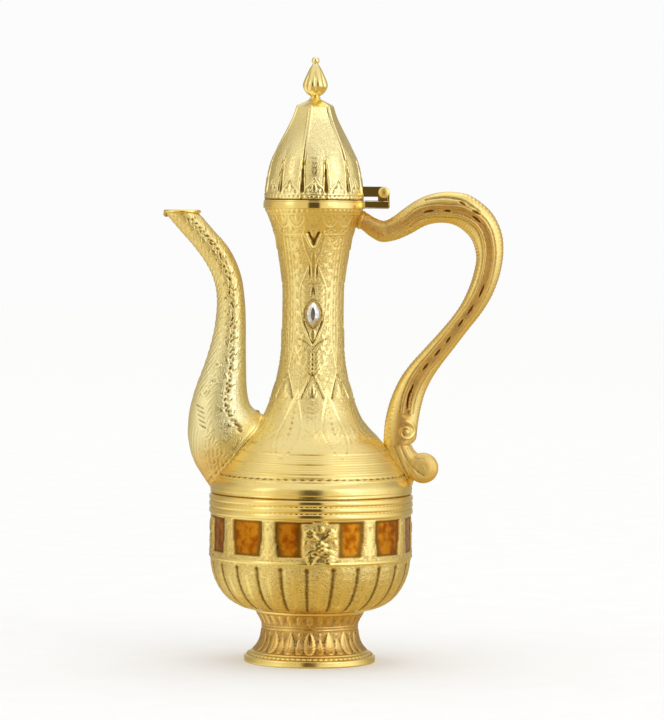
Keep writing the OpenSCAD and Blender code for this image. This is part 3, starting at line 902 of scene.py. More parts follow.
def neck_shell():
    line = resample(NECK_LINE, 328)
    z = line[:, 1]
    line[:, 0] -= 0.38 * window(z, JOINT_Z + 20, JOINT_Z + 40, NECK_TOP_Z - 6, NECK_TOP_Z)
    relief = TurnedRelief(line, 280)
    neck_swags(relief)
    neck_panel(relief)
    neck_seams(relief)
    shoulder_petals(relief)
    shoulder_bands(relief)
    petal_foot = step_up(JOINT_Z + 22, JOINT_Z + 56, relief.z)
    relief.mat(relief.between(JOINT_Z + 22, NECK_TOP_Z - 2) * (0.2 + 0.8 * petal_foot), 0.035)
    relief.satin = 0.5 * relief.between(JOINT_Z + 8, JOINT_Z + 24, 1.5) + 0.25 * petal_foot
    relief.pale = 0.3 * relief.between(JOINT_Z + 24, GEM_Z + 20, 12)
    return turned_shell("neck_shell_engraved", relief, resample(line, 18)[::-1] - [WALL, 0])


# ---- rim collar


def rim_collar():
    """A polished band under a narrow bead, with painted shade in the seam below the lid."""
    bore = COLLAR_R - 2.3
    z = NECK_TOP_Z
    edge = [[COLLAR_R - 0.35 + 0.35 * math.sin(a), 0.35 - 0.35 * math.cos(a)]
            for a in np.linspace(0, math.pi / 2, 6)]
    lower = [[r, z + h] for r, h in edge]
    upper = [[r, z + 3.3 - h] for r, h in reversed(edge)]
    bead = [[COLLAR_R - 0.7 + 0.5 * math.sin(a) ** 0.5, z + 3.75 - 0.43 * math.cos(a)]
            for a in np.linspace(0.3, math.pi, 9)]
    line = np.array([[bore, z], *lower, *upper, *bead, [bore + 0.3, COLLAR_TOP_Z],
                     [bore, COLLAR_TOP_Z - 0.3]])
    grid = turned(line, 256)
    seam = grid[..., 2] > COLLAR_TOP_Z - 0.14
    # Painted shade along the top of the collar, in the seam under the lid.
    return skin("rim_collar_polished", grid, {"hollow": seam * 0.95}, sharp=40)


# ---- lid

LID_EDGE_Z = COLLAR_TOP_Z + 0.03       # the lid's edge all but touches the collar


def lid_lobes(relief, rise, flat):
    """The large shape: twelve lobes with slots between them under a six-sided creased top."""
    lobe = np.abs(relief.folded(12)) / (TAU / 24)              # 0 on a lobe, 1 between two
    facet = relief.folded(6, phase=-0.25)                      # 0 in the middle of a facet
    relief.height -= flat * relief.radius * (1 - math.cos(TAU / 12) / np.cos(facet)) * 0.92
    relief.height -= 0.6 * window(rise, 2.2, 5, 14, 30) * lobe**2.4
    relief.settle()
    relief.sector(12, phase=0.5)
    slot_wide = 1.15 * np.clip(1 - (rise - 4.6) / 14.4, 0.05, 1) ** 0.8 * (rise > 3.4)
    slot = np.clip(1 - (relief.x / np.maximum(slot_wide, 0.06)) ** 4, 0, None) * (rise < 19)
    relief.height -= 1.2 * slot
    relief.ridge([[1.6, 4.6], [1.35, 10], [0.6, 20]], 0.4, 0.26)
    relief.sector(6, phase=0.25)
    relief.height -= 0.4 * window(rise, 12, 17, 45, 46) * hump(relief.x, 0.5)
    relief.ridge([[0.9, 17], [0.8, 45]], 0.4, 0.2)


def lid_ornament(relief):
    """A pointed arch with a leaf on each lobe, sprigs above it and a beaded edge below."""
    relief.sector(12)
    ogive = curve([[4.9, 3.0], [4.2, 5.2], [1.8, 7.2], [0, 10.4]], 5)
    relief.ridge(ogive, 0.42, 0.28)
    relief.groove([[x * 0.72, z - 0.9] for x, z in ogive], 0.35, 0.25)
    relief.leaf([[0, 3.4], [0, 8.2]], 1.2, 0.28, veins=4)
    relief.dot(2.4, 4.4, 0.62, 0.28)
    for z in 12.5 + 2.4 * np.arange(4):
        relief.sprig([[0.2, z], [1.1, z + 0.9], [1.7, z + 2.3]], 0.6, 0.14)
    relief.band(2.3, 0.5, 0.28)
    relief.band(0.95, 0.45, 0.2)
    relief.sector(60)
    relief.groove([[0, 1.05], [0, 1.9]], 0.42, 0.3)


def lid():
    rings = outline("lid")
    body = curve(rings[:-1], 10)
    body = body[body[:, 1] > LID_Z + 0.3]
    cap = np.array([rings[-2], (rings[-2] + rings[-1]) / 2, rings[-1]])
    edge = [[rings[0][0] - 0.06, LID_EDGE_Z], [rings[0][0] - 0.02, LID_EDGE_Z + 0.3]]
    relief = TurnedRelief(np.vstack([edge, resample(body, 150), resample(cap, 16)[1:]]), 360)
    relief.zero = LID_Z
    rise = relief.z - LID_Z
    flat = step_up(17, 40, rise)
    lid_lobes(relief, rise, flat)
    lid_ornament(relief)
    # Painted shade along the lid's lowest edge, in the seam over the collar.
    relief.painted_shade = 1 - step_up(0.1, 0.5, rise)
    relief.mat(relief.between(LID_Z + 3, LID_TOP_Z - 3) * (0.62 - 0.3 * flat), 0.02)
    relief.pale += 0.55

    inner = resample(body, 22)[::-1]
    rise = inner[:, 1] - LID_Z
    inner[:, 0] -= WALL + 0.9 * step_up(2, 4, rise) + 0.5 * step_up(17, 40, rise)
    top = [[1.5, LID_TOP_Z], [1.5, LID_TOP_Z - 2.5], [4.5, LID_TOP_Z - 2.5]]
    return turned_shell("lid_lobed", relief, [*top, *inner], deepest=2.1, sharp=55)


# ---- finial


def finial():
    """A bud with eight lobes and a bead on top, on a threaded stud."""
    z = LID_TOP_Z
    thread = [[1.5 - 0.18 * (k % 2), z - 8 + 0.25 * k] for k in range(31)]
    base = [[2.3, z - 0.1], [2.7, z + 0.15], [2.7, z + 0.5], [2.1, z + 0.8]]
    bud = curve([[2.2, z + 1.1], [4.4, z + 2.6], [5.9, z + 4.8], [6.3, z + 6.7], [5.6, z + 9],
                 [4.3, z + 11.8], [2.8, z + 14.6], [1.45, z + 16.7]], 9)
    grid = turned(np.vstack([thread, base, bud, arc((0, z + 18.5), 1.9, -50, 88, 12)]), 128)
    lobe = np.abs(np.sin(4 * np.arange(128) * TAU / 128)) ** 0.7
    rise = grid[..., 2] - z
    grid[..., :2] *= (1 - 0.10 * window(rise, 1.2, 4.5, 9, 15.5) * (1 - lobe))[..., None]
    # Painted shade in the flutes between the lobes; the top bead is paler as a painted highlight.
    hollow = step_up(0.3, 1, 1 - lobe) * window(rise, 2, 6, 12, 15)
    pale = 0.25 + 0.6 * step_up(15, 17, rise)
    marks = {"hollow": hollow * 0.5, "pale": pale, "satin": pale * 0.6}
    return skin("finial_fluted", grid, marks, loop=False, sharp=60)


# ---- vessel and belt

DRUM_PANELS = 12
DRUM_TURN = 5.5       # degrees that the drum's pattern is turned towards the handle
DRUM_R = 49.2
CORNER_Z = 53         # the drum is straight above this


def drum_relief(relief):
    """Upright ribs between recessed polished panels, with a spray of flowers on four sides."""
    top = BELT_Z - 1
    bottom = FOOT_TOP_Z + 26
    relief.sector(DRUM_PANELS, phase=0.5)
    wide = math.pi * DRUM_R / DRUM_PANELS - 3.1 - 1.1 * step_up(top - 8, top - 15, relief.z)
    inside = step_up(0, 0.9, wide - relief.x) * relief.between(bottom + 3, top + 0.3, 0.4)
    relief.height -= 0.75 * inside
    relief.settle()
    # The recessed panels carry a painted orange reflection.
    relief.orange_reflection = inside
    relief.sector(DRUM_PANELS)
    relief.ridge([[1.1, top - 1], [0.8, top - 9], [2.2, top - 16], [1.4, bottom + 4]], 0.5, 0.3)
    relief.leaf([[0, bottom + 1], [0, top - 2]], 1.0, 0.3, veins=10)
    relief.dot(0, top - 1.8, 1.1, 0.4)
    relief.sector(4)
    plain = 1 - (1 - step_up(8.2, 9.6, relief.x)) * relief.between(bottom + 2, top - 0.5, 0.4)
    relief.height *= plain
    relief.base *= plain
    relief.orange_reflection = relief.orange_reflection * plain
    relief.zero = top
    for x, z, r in ((0, -12, 3.4), (5.2, -5.6, 2.7), (4.6, -17.5, 2.4), (0, -3.2, 1.6)):
        relief.flower(x, z, r, 0.5, petals=6)
    for x, z, dx, dz in ((1.2, -8, 3.6, 4.2), (2.8, -13.4, 4.8, -2.6), (1, -16, 4.6, -5.4),
                         (5.6, -9, 3, -2.6)):
        relief.leaf(curve([[x, z], [x + dx * 0.6, z + dz * 0.3], [x + dx, z + dz]], 4), 1.2, 0.42)


def bowl_relief(relief):
    """Gadroons under the drum."""
    relief.zero = FOOT_TOP_Z
    share = np.abs(relief.folded(24)) / (TAU / 48)
    relief.height -= 0.7 * relief.between(FOOT_TOP_Z + 1.5, FOOT_TOP_Z + 24, 1.2) * share**3
    relief.settle()
    relief.sector(24)
    relief.ridge([[0, 4], [0, 20]], 0.45, 0.22)
    relief.band(26, 0.7, 0.35)


def vessel():
    rings = outline("vessel")
    rings = rings[rings[:, 1] <= JOINT_Z + 0.01]
    corner = rings[rings[:, 1] < CORNER_Z]
    r = rings[-1][0]
    body = np.vstack([curve(corner, 8), [[r, JOINT_Z]]])
    floor_line = [[x, FOOT_TOP_Z] for x in (2, 12, 22)]
    relief = TurnedRelief(np.vstack([floor_line, resample(body, 180)]), 360)
    relief.angle = relief.angle - math.radians(DRUM_TURN)
    drum_relief(relief)
    bowl_relief(relief)
    relief.mat(relief.between(FOOT_TOP_Z + 2, BELT_Z - 1) * (1 - relief.orange_reflection), 0.04)
    relief.height[:4] = 0
    spigot = [[r - 1.3, JOINT_Z], [r - 1.3, JOINT_Z + 3], [r - 2.8, JOINT_Z + 3],
              [r - 2.8, JOINT_Z - 3]]
    bowl = resample(curve(corner, 4), 14)[::-1] + [-WALL, WALL]
    inner = [*spigot, [r - WALL, JOINT_Z - 4], [r - WALL, CORNER_Z + 3], *bowl, [2, FOOT_TOP_Z + WALL]]
    return turned_shell("vessel_chased", relief, inner, loop=False)


def belt_ring():
    """Three rounded ridges with beaded lines between them."""
    ridge = (JOINT_Z - BELT_Z) / 3
    inner_r = BELT_R - 0.85
    ridges = [[BELT_R - 0.75 + 0.72 * math.sin(a) ** 0.8,
               BELT_Z + ridge * (k + 0.5 - 0.44 * math.cos(a))]
              for k in range(3) for a in np.linspace(0, math.pi, 13)]
    relief = TurnedRelief(np.array([[inner_r, BELT_Z], *ridges, [inner_r, JOINT_Z - 0.05]]), 360)
    for k in (1, 2):
        relief.beads(BELT_Z + ridge * k, 120, 0.5, 0.3)
    inner = [[inner_r - 0.4, JOINT_Z - 0.1], [inner_r - 0.4, BELT_Z + 0.1]]
    return turned_shell("belt_ring_ridged", relief, inner)


# ---- foot


def foot():
    """A spool-shaped pedestal: leaves up its flare, a beaded edge and a rolled top."""
    rings = outline("foot")
    body = curve(rings[1:], 8)
    relief = TurnedRelief(np.vstack([[rings[0]], resample(body, 96)]), 288)
    relief.band(3.0, 0.9, 0.3)
    relief.band(5.4, 0.5, 0.28)
    relief.beads(4.2, 72, 0.85, 0.4)
    relief.sector(16)
    relief.leaf([[0, 6], [0, 16.5]], 3.2, 0.5, veins=7)
    relief.sector(16, phase=0.5)
    relief.leaf([[0, 6], [0, 13.5]], 1.9, 0.42, veins=5)
    relief.dot(0, 15.2, 0.9, 0.4)
    relief.band(17.4, 0.5, 0.32)
    relief.band(18.7, 0.35, 0.22)
    relief.sector(32)
    relief.leaf([[0, 24.2], [0, 19.2]], 1.5, 0.4, veins=3)
    relief.band(FOOT_TOP_Z - 0.8, 0.8, 0.25)
    relief.mat(relief.between(5.8, FOOT_TOP_Z - 1.5))
    relief.height[[0, 1, -1]] = 0
    # A painted orange reflection over the foot's flare.
    relief.orange_reflection = relief.between(5.8, FOOT_TOP_Z - 1, 1.0) * 0.45
    floor_z = FOOT_TOP_Z - WALL
    flare = [[max(r - 2, 3.3), min(z, floor_z)] for r, z in resample(body, 14)[::-1]]
    inner = [[3.2, FOOT_TOP_Z], [3.2, floor_z], *flare, [rings[0][0] - 1.5, 0.0]]
    return turned_shell("foot_chased", relief, inner)


def base_plate():
    """A spun disc with shallow rings, just clear of the table."""
    bottom = low("base_plate")[2]
    edge, _, top = high("base_plate")
    r = np.linspace(0.5, edge - 0.5, 60)
    rings = 0.16 * (0.5 + 0.5 * np.cos(TAU * r / 3.6)) + 0.35 * np.exp(-((r - 12) / 1.2) ** 2)
    rim = [[edge, bottom + 0.3], [edge, top], [edge - 0.4, top], [0.5, top]]
    line = np.vstack([np.column_stack([r, bottom + rings]), rim])
    return skin("base_plate_spun", turned(line, 192), loop=False)


# ---- spout


def spout_relief(relief, along, grid):
    """A vein of random cuts with leaves and flowers beside it, fine strokes over the sides,
    three small rings, and hatching and scrolls on the bulb."""
    vein = [[-62.5, 218.6], [-54, 209.4], [-46.7, 201], [-42.6, 193], [-40.6, 185], [-39.4, 174],
            [-39.2, 165], [-39.3, 155], [-39.8, 144], [-40.8, 134], [-41.6, 127], [-40, 121],
            [-36.4, 116], [-31.4, 111.4]]
    line = resample(curve(vein, 8), 90)
    side = beside(line)
    way = np.column_stack([side[:, 1], -side[:, 0]])
    for k in range(2, len(line) - 3):
        turn = side[k] * (1 if k % 2 else -1)
        at = line[k] + turn * random.uniform(0.1, 0.9)
        lean = turn * random.uniform(-0.2, 0.8)
        reach = way[k] * random.uniform(0.6, 1.5)
        size = random.uniform(0.5, 1.1), random.uniform(0.2, 0.6)
        relief.slot([at - reach - lean, at + reach + lean], *size)
        if k % 3 == 0:
            leaf = [at + turn * 0.8, at + turn * 2.0 - way[k] * 1.2, at + turn * 2.8 - way[k] * 3.2]
            relief.leaf(curve(leaf, 4), 0.85, 0.18, veins=3)
            relief.slot([at + turn * 1.0 + way[k] * 0.8, at + turn * 2.5 - way[k] * 0.6], 0.45, 0.3)
    for k in range(5, len(line) - 5, 5):
        relief.flower(*(line[k] + side[k] * (4.4 if k % 2 else 3.4)), 1.2, 0.13)
        relief.slot([line[k] - side[k] * 2.2, line[k] - side[k] * 3.6 + way[k] * 1.6], 0.4, 0.3)
    x, z = grid[..., 0], grid[..., 2]
    hatched = window(z, 113, 116, 128, 131) * (1 - step_up(-52, -49, x))
    strokes = step_up(2.6, 4.2, relief.x) * (1 - relief.worked) * (1 - hatched)
    wave = np.sin((along * 0.75 + relief.x * 0.9) * TAU / 2.3)
    relief.height += 0.13 * strokes * np.clip(wave, -0.3, 1)
    for x, z, r in ((-47.5, 138.5, 1.6), (-52.6, 134.4, 1.8), (-46, 146, 1.3)):
        relief.ridge(arc((x, z), r, 0, 360, 17), 0.42, 0.32)
    for k in range(5):
        x, z = 0.25 * k - 57.3, 128.5 - 2.5 * k
        relief.slot([[x - 0.4, z + 1.4], [x + 4.2, z - 2.2]], 0.8, 0.34)
    scrolls = (-52, 113), (-46, 107), (-54, 104), (-48, 99), (-41, 101), (-50, 92), (-43, 94)
    for k, (x, z) in enumerate(scrolls):
        relief.scroll((x, z), 2.6, 60 * k, 1.3 if k % 2 else -1.3, 0.5, 0.22)
        relief.sprig([[x + 1.5, z + 1.5], [x + 3, z + 2], [x + 4.4, z + 1]], 0.8, 0.22)


def spout():
    """The spout's engraved tube, from the shoulder to its level mouth."""
    sweep = Sweep(SPOUT_PATH)
    outer, along, across = sweep.cut(420, 200, 0.5, MOUTH_Z)
    relief = SweptRelief(sweep, across, along)
    spout_relief(relief, along, outer)
    root = along - along[:1]
    relief.height += 0.14 * hump(root - 0.9, 0.8) - 0.12 * hump(root - 1.9, 0.6)
    bulb = (1 - step_up(36, 52, along)) * step_up(-2, 4, relief.x)
    relief.mat(step_up(2, 5, root) * (0.75 - 0.5 * bulb), 0.03)
    relief.satin = 0.15 + 0.5 * bulb
    relief.pale = (0.25 + 0.75 * (1 - step_up(50, 100, along))) * step_up(14, 26, along)
    relief.height *= step_up(0, 0.6, root) * step_up(0, 1.5, along[-1:] - along)
    # A painted orange reflection low on the spout, towards its outer side.
    relief.orange_reflection = (1 - step_up(16, 28, along)) * step_up(2, 12, relief.x) * 0.35
    inner = Sweep(SPOUT_PATH, SPOUT_WALL).cut(24, 200, 0.5, MOUTH_Z)[0]
    tube = shell("spout", outer, relief, inner[::-1])
    return join("spout_engraved", [tube, ball(-27.0, 121.8, 1.5)])


def ball(x, z, radius):
    """A small dark bead in the plane of symmetry."""
    grid = turned(arc((0, z), radius, -86, 86, 13), 24) + [x, 0, 0]
    return skin("ball", grid, {"hollow": 0.55}, loop=False, sharp=80)


def spout_lip():
    """A rounded bead along the level mouth, with a small ball under its outer end."""
    x = (low("spout_lip")[0] + high("spout_lip")[0]) / 2
    wide, deep, half_tall = (high("spout_lip") - low("spout_lip")) / 2
    angle = np.arange(96) * TAU / 96
    grid = []
    for a in np.arange(20) * TAU / 20:
        inset = 1.15 * math.cos(a) - 1.25
        level = np.full(96, MOUTH_Z + half_tall * (1 + math.sin(a)))
        grid.append(np.column_stack([
            x + (wide + inset) * np.cos(angle), (deep + inset) * np.sin(angle), level
        ]))
    bead = skin("bead", np.array(grid), sharp=80)
    return join("spout_lip_bead", [bead, ball(x - wide + 1.5, MOUTH_Z - 0.5, 1.45)])


# ---- handle

VOLUTE = (46.2, 113.4)     # middle of the scroll at the handle's foot
VOLUTE_ROUND = 4.2         # how much the foot's outer corner is rounded


def handle_relief(relief, along):
    """Two strands with a slotted groove between them, over a scroll at the foot."""
    seam = [[36.5, 211.5], [44, 214.5], [50, 219.5], [57.5, 221.6], [65.5, 221.6], [72, 221],
            [79, 217.5], [83.5, 212], [85.6, 203], [85, 194], [82.3, 183.5], [77, 173.6],
            [71.5, 166.2], [65.8, 158.2], [59.6, 150.4], [54.4, 144.2], [50.2, 137.5],
            [47.2, 129.5], [46.2, 122.5]]
    line = resample(curve(seam, 8), 120)
    side = beside(line)
    relief.groove(line, 2.4, 0.42)
    for offset in (2.2, -2.2):
        relief.ridge(line[6:] + side[6:] * offset, 0.6, 0.14)
        relief.groove(line[8:] + side[8:] * offset * 1.45, 0.45, 0.2)
    for x, z, reach in ((56.1, 221.2, 2.6), (65.1, 221.4, 1.8), (79.3, 217.6, 2.6), (82.2, 182.6, 3.4),
                        (76.9, 173.6, 2.8), (72.2, 167, 2.4), (66.3, 158.6, 2.2), (61.2, 152.4, 2.6),
                        (55.3, 145.4, 2.4)):
        nearest = int(np.linalg.norm(line - [x, z], axis=1).argmin())
        way = line[min(nearest + 1, len(line) - 1)] - line[nearest - 1]
        way *= reach / np.linalg.norm(way)
        relief.slot([[x, z] - way, [x, z] + way], 0.75, 0.8)
    relief.slot(curve([[49.6, 137], [47.4, 131], [46.4, 124.6]], 6), 0.7, 1.0)
    relief.ridge(curve([[48.4, 132], [47.6, 128], [47.3, 124.4]], 6), 0.45, 0.3)
    strand = curve([[53.8, 226.9], [60, 227.9], [66.2, 228], [73.5, 226.2], [80.5, 221.4]], 8)
    relief.groove(strand, 0.8, 0.4)
    for x, z in ((72.4, 225.4), (79.4, 221.0)):
        relief.slot([[x - 2, z + 1.0], [x + 2, z - 1.0]], 0.75, 0.8)
    relief.scroll(VOLUTE, 4.9, 95, -1.5, 1.0, 0.42)
    ticks = step_up(5.0, 6.5, relief.x) * window(along, 52, 60, 170, 180)
    relief.height += 0.2 * ticks * np.clip(np.sin(along * TAU / 1.6), 0, None)
    fluted = (1 - step_up(-5.5, -4, relief.x)) * step_up(20, 28, along)
    relief.height += 0.16 * fluted * np.clip(np.sin(along * TAU / 2.0), 0, None)


def handle():
    sweep = Sweep(HANDLE_PATH)
    grid, along, across = sweep.cut(560, 168, 0.25)
    relief = SweptRelief(sweep, across, along)
    handle_relief(relief, along)
    root = along - along[:1]
    end = along[-1:] - along
    relief.height += 0.5 * hump(root - 1.4, 1.0)
    granular = (1 - step_up(34, 46, along)) * step_up(2, 4, root)
    relief.mat(np.maximum(0.8 * granular, 0.3), 0.04)
    relief.height *= step_up(0, 0.6, root) * step_up(0, 1.2, end)
    # A painted orange reflection down the middle of the handle's front and back faces.
    relief.orange_reflection = 0.08 + 0.42 * (1 - step_up(1.0, 4.0, np.abs(relief.x)))
    relief.satin = 0.25 + 0.45 * (1 - step_up(1.5, 5.0, np.abs(relief.x)))
    corner = np.clip(1 - end / VOLUTE_ROUND, 0, 1)
    rounded = VOLUTE_ROUND * (1 - np.sqrt(1 - corner**2))
    grid[..., 0] -= rounded * np.clip(np.cos(across), 0, None) * 0.9
    grid = grid + outward(grid) * relief.height[..., None]
    grid[..., 0] = np.minimum(grid[..., 0], high("handle")[0])
    return skin("handle_cast", grid, relief.marks(), loop=False)


# ---- handle bracket


def strap(path):
    """A closed tube along a path of [x, z, half thickness, half width], with rounded ends."""
    line = curve(path, 8)
    middle = line[:, :2]
    return skin("strap", sections(middle, beside(middle) * line[:, 2:3], line[:, 3],
                                  np.arange(40) * TAU / 40), loop=False)


def handle_bracket():
    """A leaf down the shoulder and an arm that rolls up into a knob, cast in one."""
    least, most = low("handle_bracket"), high("handle_bracket")
    knob = most[0] - 7.0, least[2] + 8.6
    half_wide = (most[1] - least[1]) / 2
    leaf_path = [[41.4, BRACKET_TOP_Z + 2.5, 8.2, 4.6], [42.6, 104, 6.6, 4.9], [44.4, 98.5, 4.6, 5.0],
                 [46.6, 93.6, 3.2, 4.6], [48.2, 89.6, 2.0, 3.4], [49.0, 86.6, 0.6, 1.2]]
    arm_path = [[43, 106.6, 5.5, 4.6], [45.6, 102.2, 5.2, 4.8], [48.2, 98.8, 5.6, 5.0],
                [51.4, 95.8, 6.2, 5.2], [*knob, 6.8, 5.2]]
    piece = strap(leaf_path)
    cut_with(piece, strap(arm_path), "UNION")
    cut_with(piece, drum(*knob, 7.45, half_wide, edge=2.2), "UNION")
    modify(piece, "REMESH", mode="VOXEL", voxel_size=0.32 * MM)
    modify(piece, "SMOOTH", factor=0.5, iterations=16)
    shape_bracket(piece.data, knob, half_wide)
    piece.name = "handle_bracket_leaf"
    return piece


def line_distance(points, line):
    """How far each point is from a line, in the plane of both."""
    away = np.full(len(points), 1e9)
    for start, end in zip(line[:-1], line[1:]):
        step = end - start
        t = np.clip(((points - start) @ step) / max(step @ step, 1e-9), 0, 1)
        away = np.minimum(away, np.linalg.norm(points - start - t[:, None] * step, axis=1))
    return away


def shape_bracket(mesh, knob, half_wide):
    """Sinks grooves into the bracket's sides, rounds it and sets it against the shoulder."""
    co = vertices(mesh) / MM
    seen = co[:, [0, 2]]                 # as seen from the side
    grooves = [
        (spiral(knob, 6.0, 140, -1.35, 0.78, 40), 0.9, 0.1),
        (curve([[40.6, 106], [42.6, 101], [45.2, 95.6], [48.0, 90.6]], 8), 0.8, 0.3),
        (curve([[43.6, 106.4], [45.4, 102], [48.2, 97.8], [51.6, 94.4], [55, 92.4]], 8), 0.7, 0.24),
        (curve([[46.8, 105.6], [48.4, 102.6], [51.4, 100.6], [55, 100.4]], 8), 0.6, 0.2),
    ]
    cut = sum(depth * hump(line_distance(seen, line), width) for line, width, depth in grooves)
    sideways = np.clip(np.abs(co[:, 1]) / 2.5, 0, 1)
    on_knob = step_up(-4, 4, co[:, 0] - knob[0])
    crown = 1.6 * on_knob * np.clip(np.linalg.norm(seen - knob, axis=1) / 7.0, 0, 1) ** 2
    spine = curve([[41.4, 108], [43.4, 103], [46.4, 98.6], [50.4, 96.2], knob], 8)
    edge = 1.2 * (1 - on_knob) * step_up(4.2, 7.2, line_distance(seen, spine))
    co[:, 1] -= np.sign(co[:, 1]) * (cut + crown + edge) * sideways
    radius = np.hypot(co[:, 0], co[:, 1])
    least = neck_radius(co[:, 2]) - SINK
    co[:, :2] *= np.where(radius < least, least / np.maximum(radius, 1e-6), 1)[:, None]
    co[:, 1] = np.clip(co[:, 1], -half_wide, half_wide)
    co[:, 2] = np.minimum(co[:, 2], BRACKET_TOP_Z)
    mesh.vertices.foreach_set("co", (co * MM).ravel())
    # Painted shade in the grooves, and a faint painted orange reflection over the whole bracket.
    set_marks(mesh, {"hollow": np.clip(cut * 1.6 * sideways, 0, 1), "orange_reflection": 0.2, "satin": 1.1})
    shade_smooth(mesh)
    mesh.update()


# ---- gems

GEM_HALF = (high("gems") - low("gems"))[[2, 0]] / 2
BEZEL_HALF = (high("gem_bezels") - low("gem_bezels"))[[2, 0]] / 2
GEM_TOP_Y = high("gems")[1]
BEZEL_TOP_Y = high("gem_bezels")[1]
BEZEL_FOOT_Y = 14.4        # inside the neck's wall
BEAD_R = 0.34


def marquise(half_tall, half_wide, count):
    """A pointed oval of two arcs, as [x, z]."""
    radius = (half_tall**2 + half_wide**2) / (2 * half_wide)
    reach = math.asin(half_tall / radius)
    right = [[radius * math.cos(a) - radius + half_wide, radius * math.sin(a)]
             for a in np.linspace(-reach, reach, count // 2, endpoint=False)]
    return np.array(right + [[-x, -z] for x, z in right])


def on_side(points, side):
    """Points drawn looking at the pot's front, set on its front (-1) or its back (1)."""
    return [(-side * x, side * y, GEM_Z + z) for x, y, z in points]


def gem(side):
    """A marquise stone with a crown of facets and a table."""
    girdle = marquise(*GEM_HALF, 16)
    star = marquise(*GEM_HALF * [0.83, 0.7], 32)[1::4]
    table = marquise(*GEM_HALF * [0.64, 0.36], 16)[::2]
    girdle_y = BEZEL_TOP_Y + 0.1
    star_y = girdle_y + (GEM_TOP_Y - girdle_y) * 0.62
    rows = (girdle, BEZEL_TOP_Y - 1), (girdle, girdle_y), (star, star_y), (table, GEM_TOP_Y)
    points = [(x, y, z) for row, y in rows for x, z in row]
    faces = [list(range(16))[::-1]]
    faces += [[k, (k + 1) % 16, 16 + (k + 1) % 16, 16 + k] for k in range(16)]
    for k in range(8):
        a, b, c = 16 + 2 * k, 17 + 2 * k, 16 + (2 * k + 2) % 16
        here, after = 32 + k, 32 + (k + 1) % 8
        top, top_after = here + 8, after + 8
        faces += [[a, b, here], [b, c, here], [here, c, after], [here, top_after, top],
                  [here, after, top_after]]
    faces.append(list(range(40, 48)))
    return new_mesh("gem", on_side(points, side), faces, smooth=False)


def bezel(side):
    """A raised setting with a beaded edge."""
    # The third number of each ring is painted shade: heavy down the outer wall and against the stone,
    # lighter over the top.
    rings = (
        (BEZEL_HALF, BEZEL_FOOT_Y, 0.9), (BEZEL_HALF, BEZEL_TOP_Y - 0.75, 0.9),
        (BEZEL_HALF - 0.12, BEZEL_TOP_Y - 0.35, 0.6), (BEZEL_HALF - 0.32, BEZEL_TOP_Y - 0.05, 0.4),
        (BEZEL_HALF - [0.55, 0.5], BEZEL_TOP_Y, 0.4), (GEM_HALF + 0.02, BEZEL_TOP_Y - 0.15, 0.9),
        (GEM_HALF + 0.02, BEZEL_FOOT_Y, 0.9),
    )
    grid = [on_side([(x, y, z) for x, z in marquise(*half, 72)], side) for half, y, _ in rings]
    bezel_shade = np.array([[hollow] for _, _, hollow in rings])
    made = [skin("bezel", np.array(grid), {"hollow": bezel_shade}, sharp=40)]
    rim = marquise(*BEZEL_HALF - 0.1, 72)
    for x, z in resample(np.vstack([rim, rim[:1]]), 41)[:-1]:
        bead = []
        for e in np.linspace(-1.2, 1.35, 7):
            y, r = BEZEL_TOP_Y - 0.42 + BEAD_R * math.sin(e), BEAD_R * math.cos(e)
            ring = [(x + r * math.cos(a), y, z + r * math.sin(a)) for a in np.arange(12) * TAU / 12]
            bead.append(on_side(ring, side))
        # Painted shade on the beads.
        made.append(skin("bead", np.array(bead), {"hollow": 0.4}, loop=False, sharp=80))
    return made


def gems():
    return join("gems_cut", [gem(-1), gem(1)])


def gem_bezels():
    return join("gem_bezels_beaded", bezel(-1) + bezel(1))


# ---- hinge

EAR_WIDE = 3.0


def hinge_body_leaf():
    """A bracket on the collar with a rounded ear in its middle. The CAD has two, at the sides."""
    bottom = low("hinge_body_leaf")[2]
    right, half_wide, _ = high("hinge_body_leaf")
    start = COLLAR_R - 0.4
    profile = [[start, bottom], [right, bottom], [right, COLLAR_TOP_Z], [start, COLLAR_TOP_Z]]
    block = extruded("hinge_body_leaf_bracket", profile, half_wide, 0.45)
    radius = right - PIN_X
    round_end = arc((PIN_X, PIN_Z), radius, 0, 180, 19).tolist()
    profile = [[PIN_X - radius, bottom + 0.6], [right, bottom + 0.6], *round_end]
    cut_with(block, extruded("ear", profile, EAR_WIDE / 2, 0.9, 5), "UNION")
    cut_with(block, drum(PIN_X, PIN_Z, 1.4, half_wide + 1))
    hold_off_collar(block.data)
    return flat_faced(block)


def hold_off_collar(mesh):
    """Ends a mesh on the collar's face, a little inside it."""
    for v in mesh.vertices:
        x, y = v.co.x / MM, v.co.y / MM
        if x > 0 and math.hypot(x, y) < COLLAR_R + 0.8:
            v.co.x = math.sqrt(max((COLLAR_R - 0.5) ** 2 - y * y, 1)) * MM
    mesh.update()


def hinge_pin():
    """A pin with a domed head at each end."""
    half = high("hinge_pin")[1]
    head = 2.75
    side = [[head * math.sin(a), half - 0.95 + 0.95 * math.cos(a)]
            for a in np.linspace(0.12, math.pi / 2, 11)]
    side += [[head, half - 0.98], [1.4, half - 1.0]]
    profile = side + [[r, -y] for r, y in reversed(side)]
    return crosswise("hinge_pin_domed", profile, PIN_X, PIN_Z, 64, marks={"satin": 0.9})


def hinge_lid_leaf():
    """A tongue from the lid's rim to the knuckle round the pin."""
    _, half_wide, top = high("hinge_lid_leaf")
    start = high("lid")[0] - 0.9
    tongue_z = PIN_Z - 2.2
    knuckle = arc((PIN_X, PIN_Z), top - PIN_Z, 235, 450, 25).tolist()
    profile = [[start, tongue_z], [PIN_X - 1.2, tongue_z], *knuckle, [start, top]]
    leaf = extruded("hinge_lid_leaf_tongue", profile, half_wide, 0.35)
    return flat_faced(cut_with(leaf, drum(PIN_X, PIN_Z, 1.46, half_wide + 1)))


# ---- all pieces

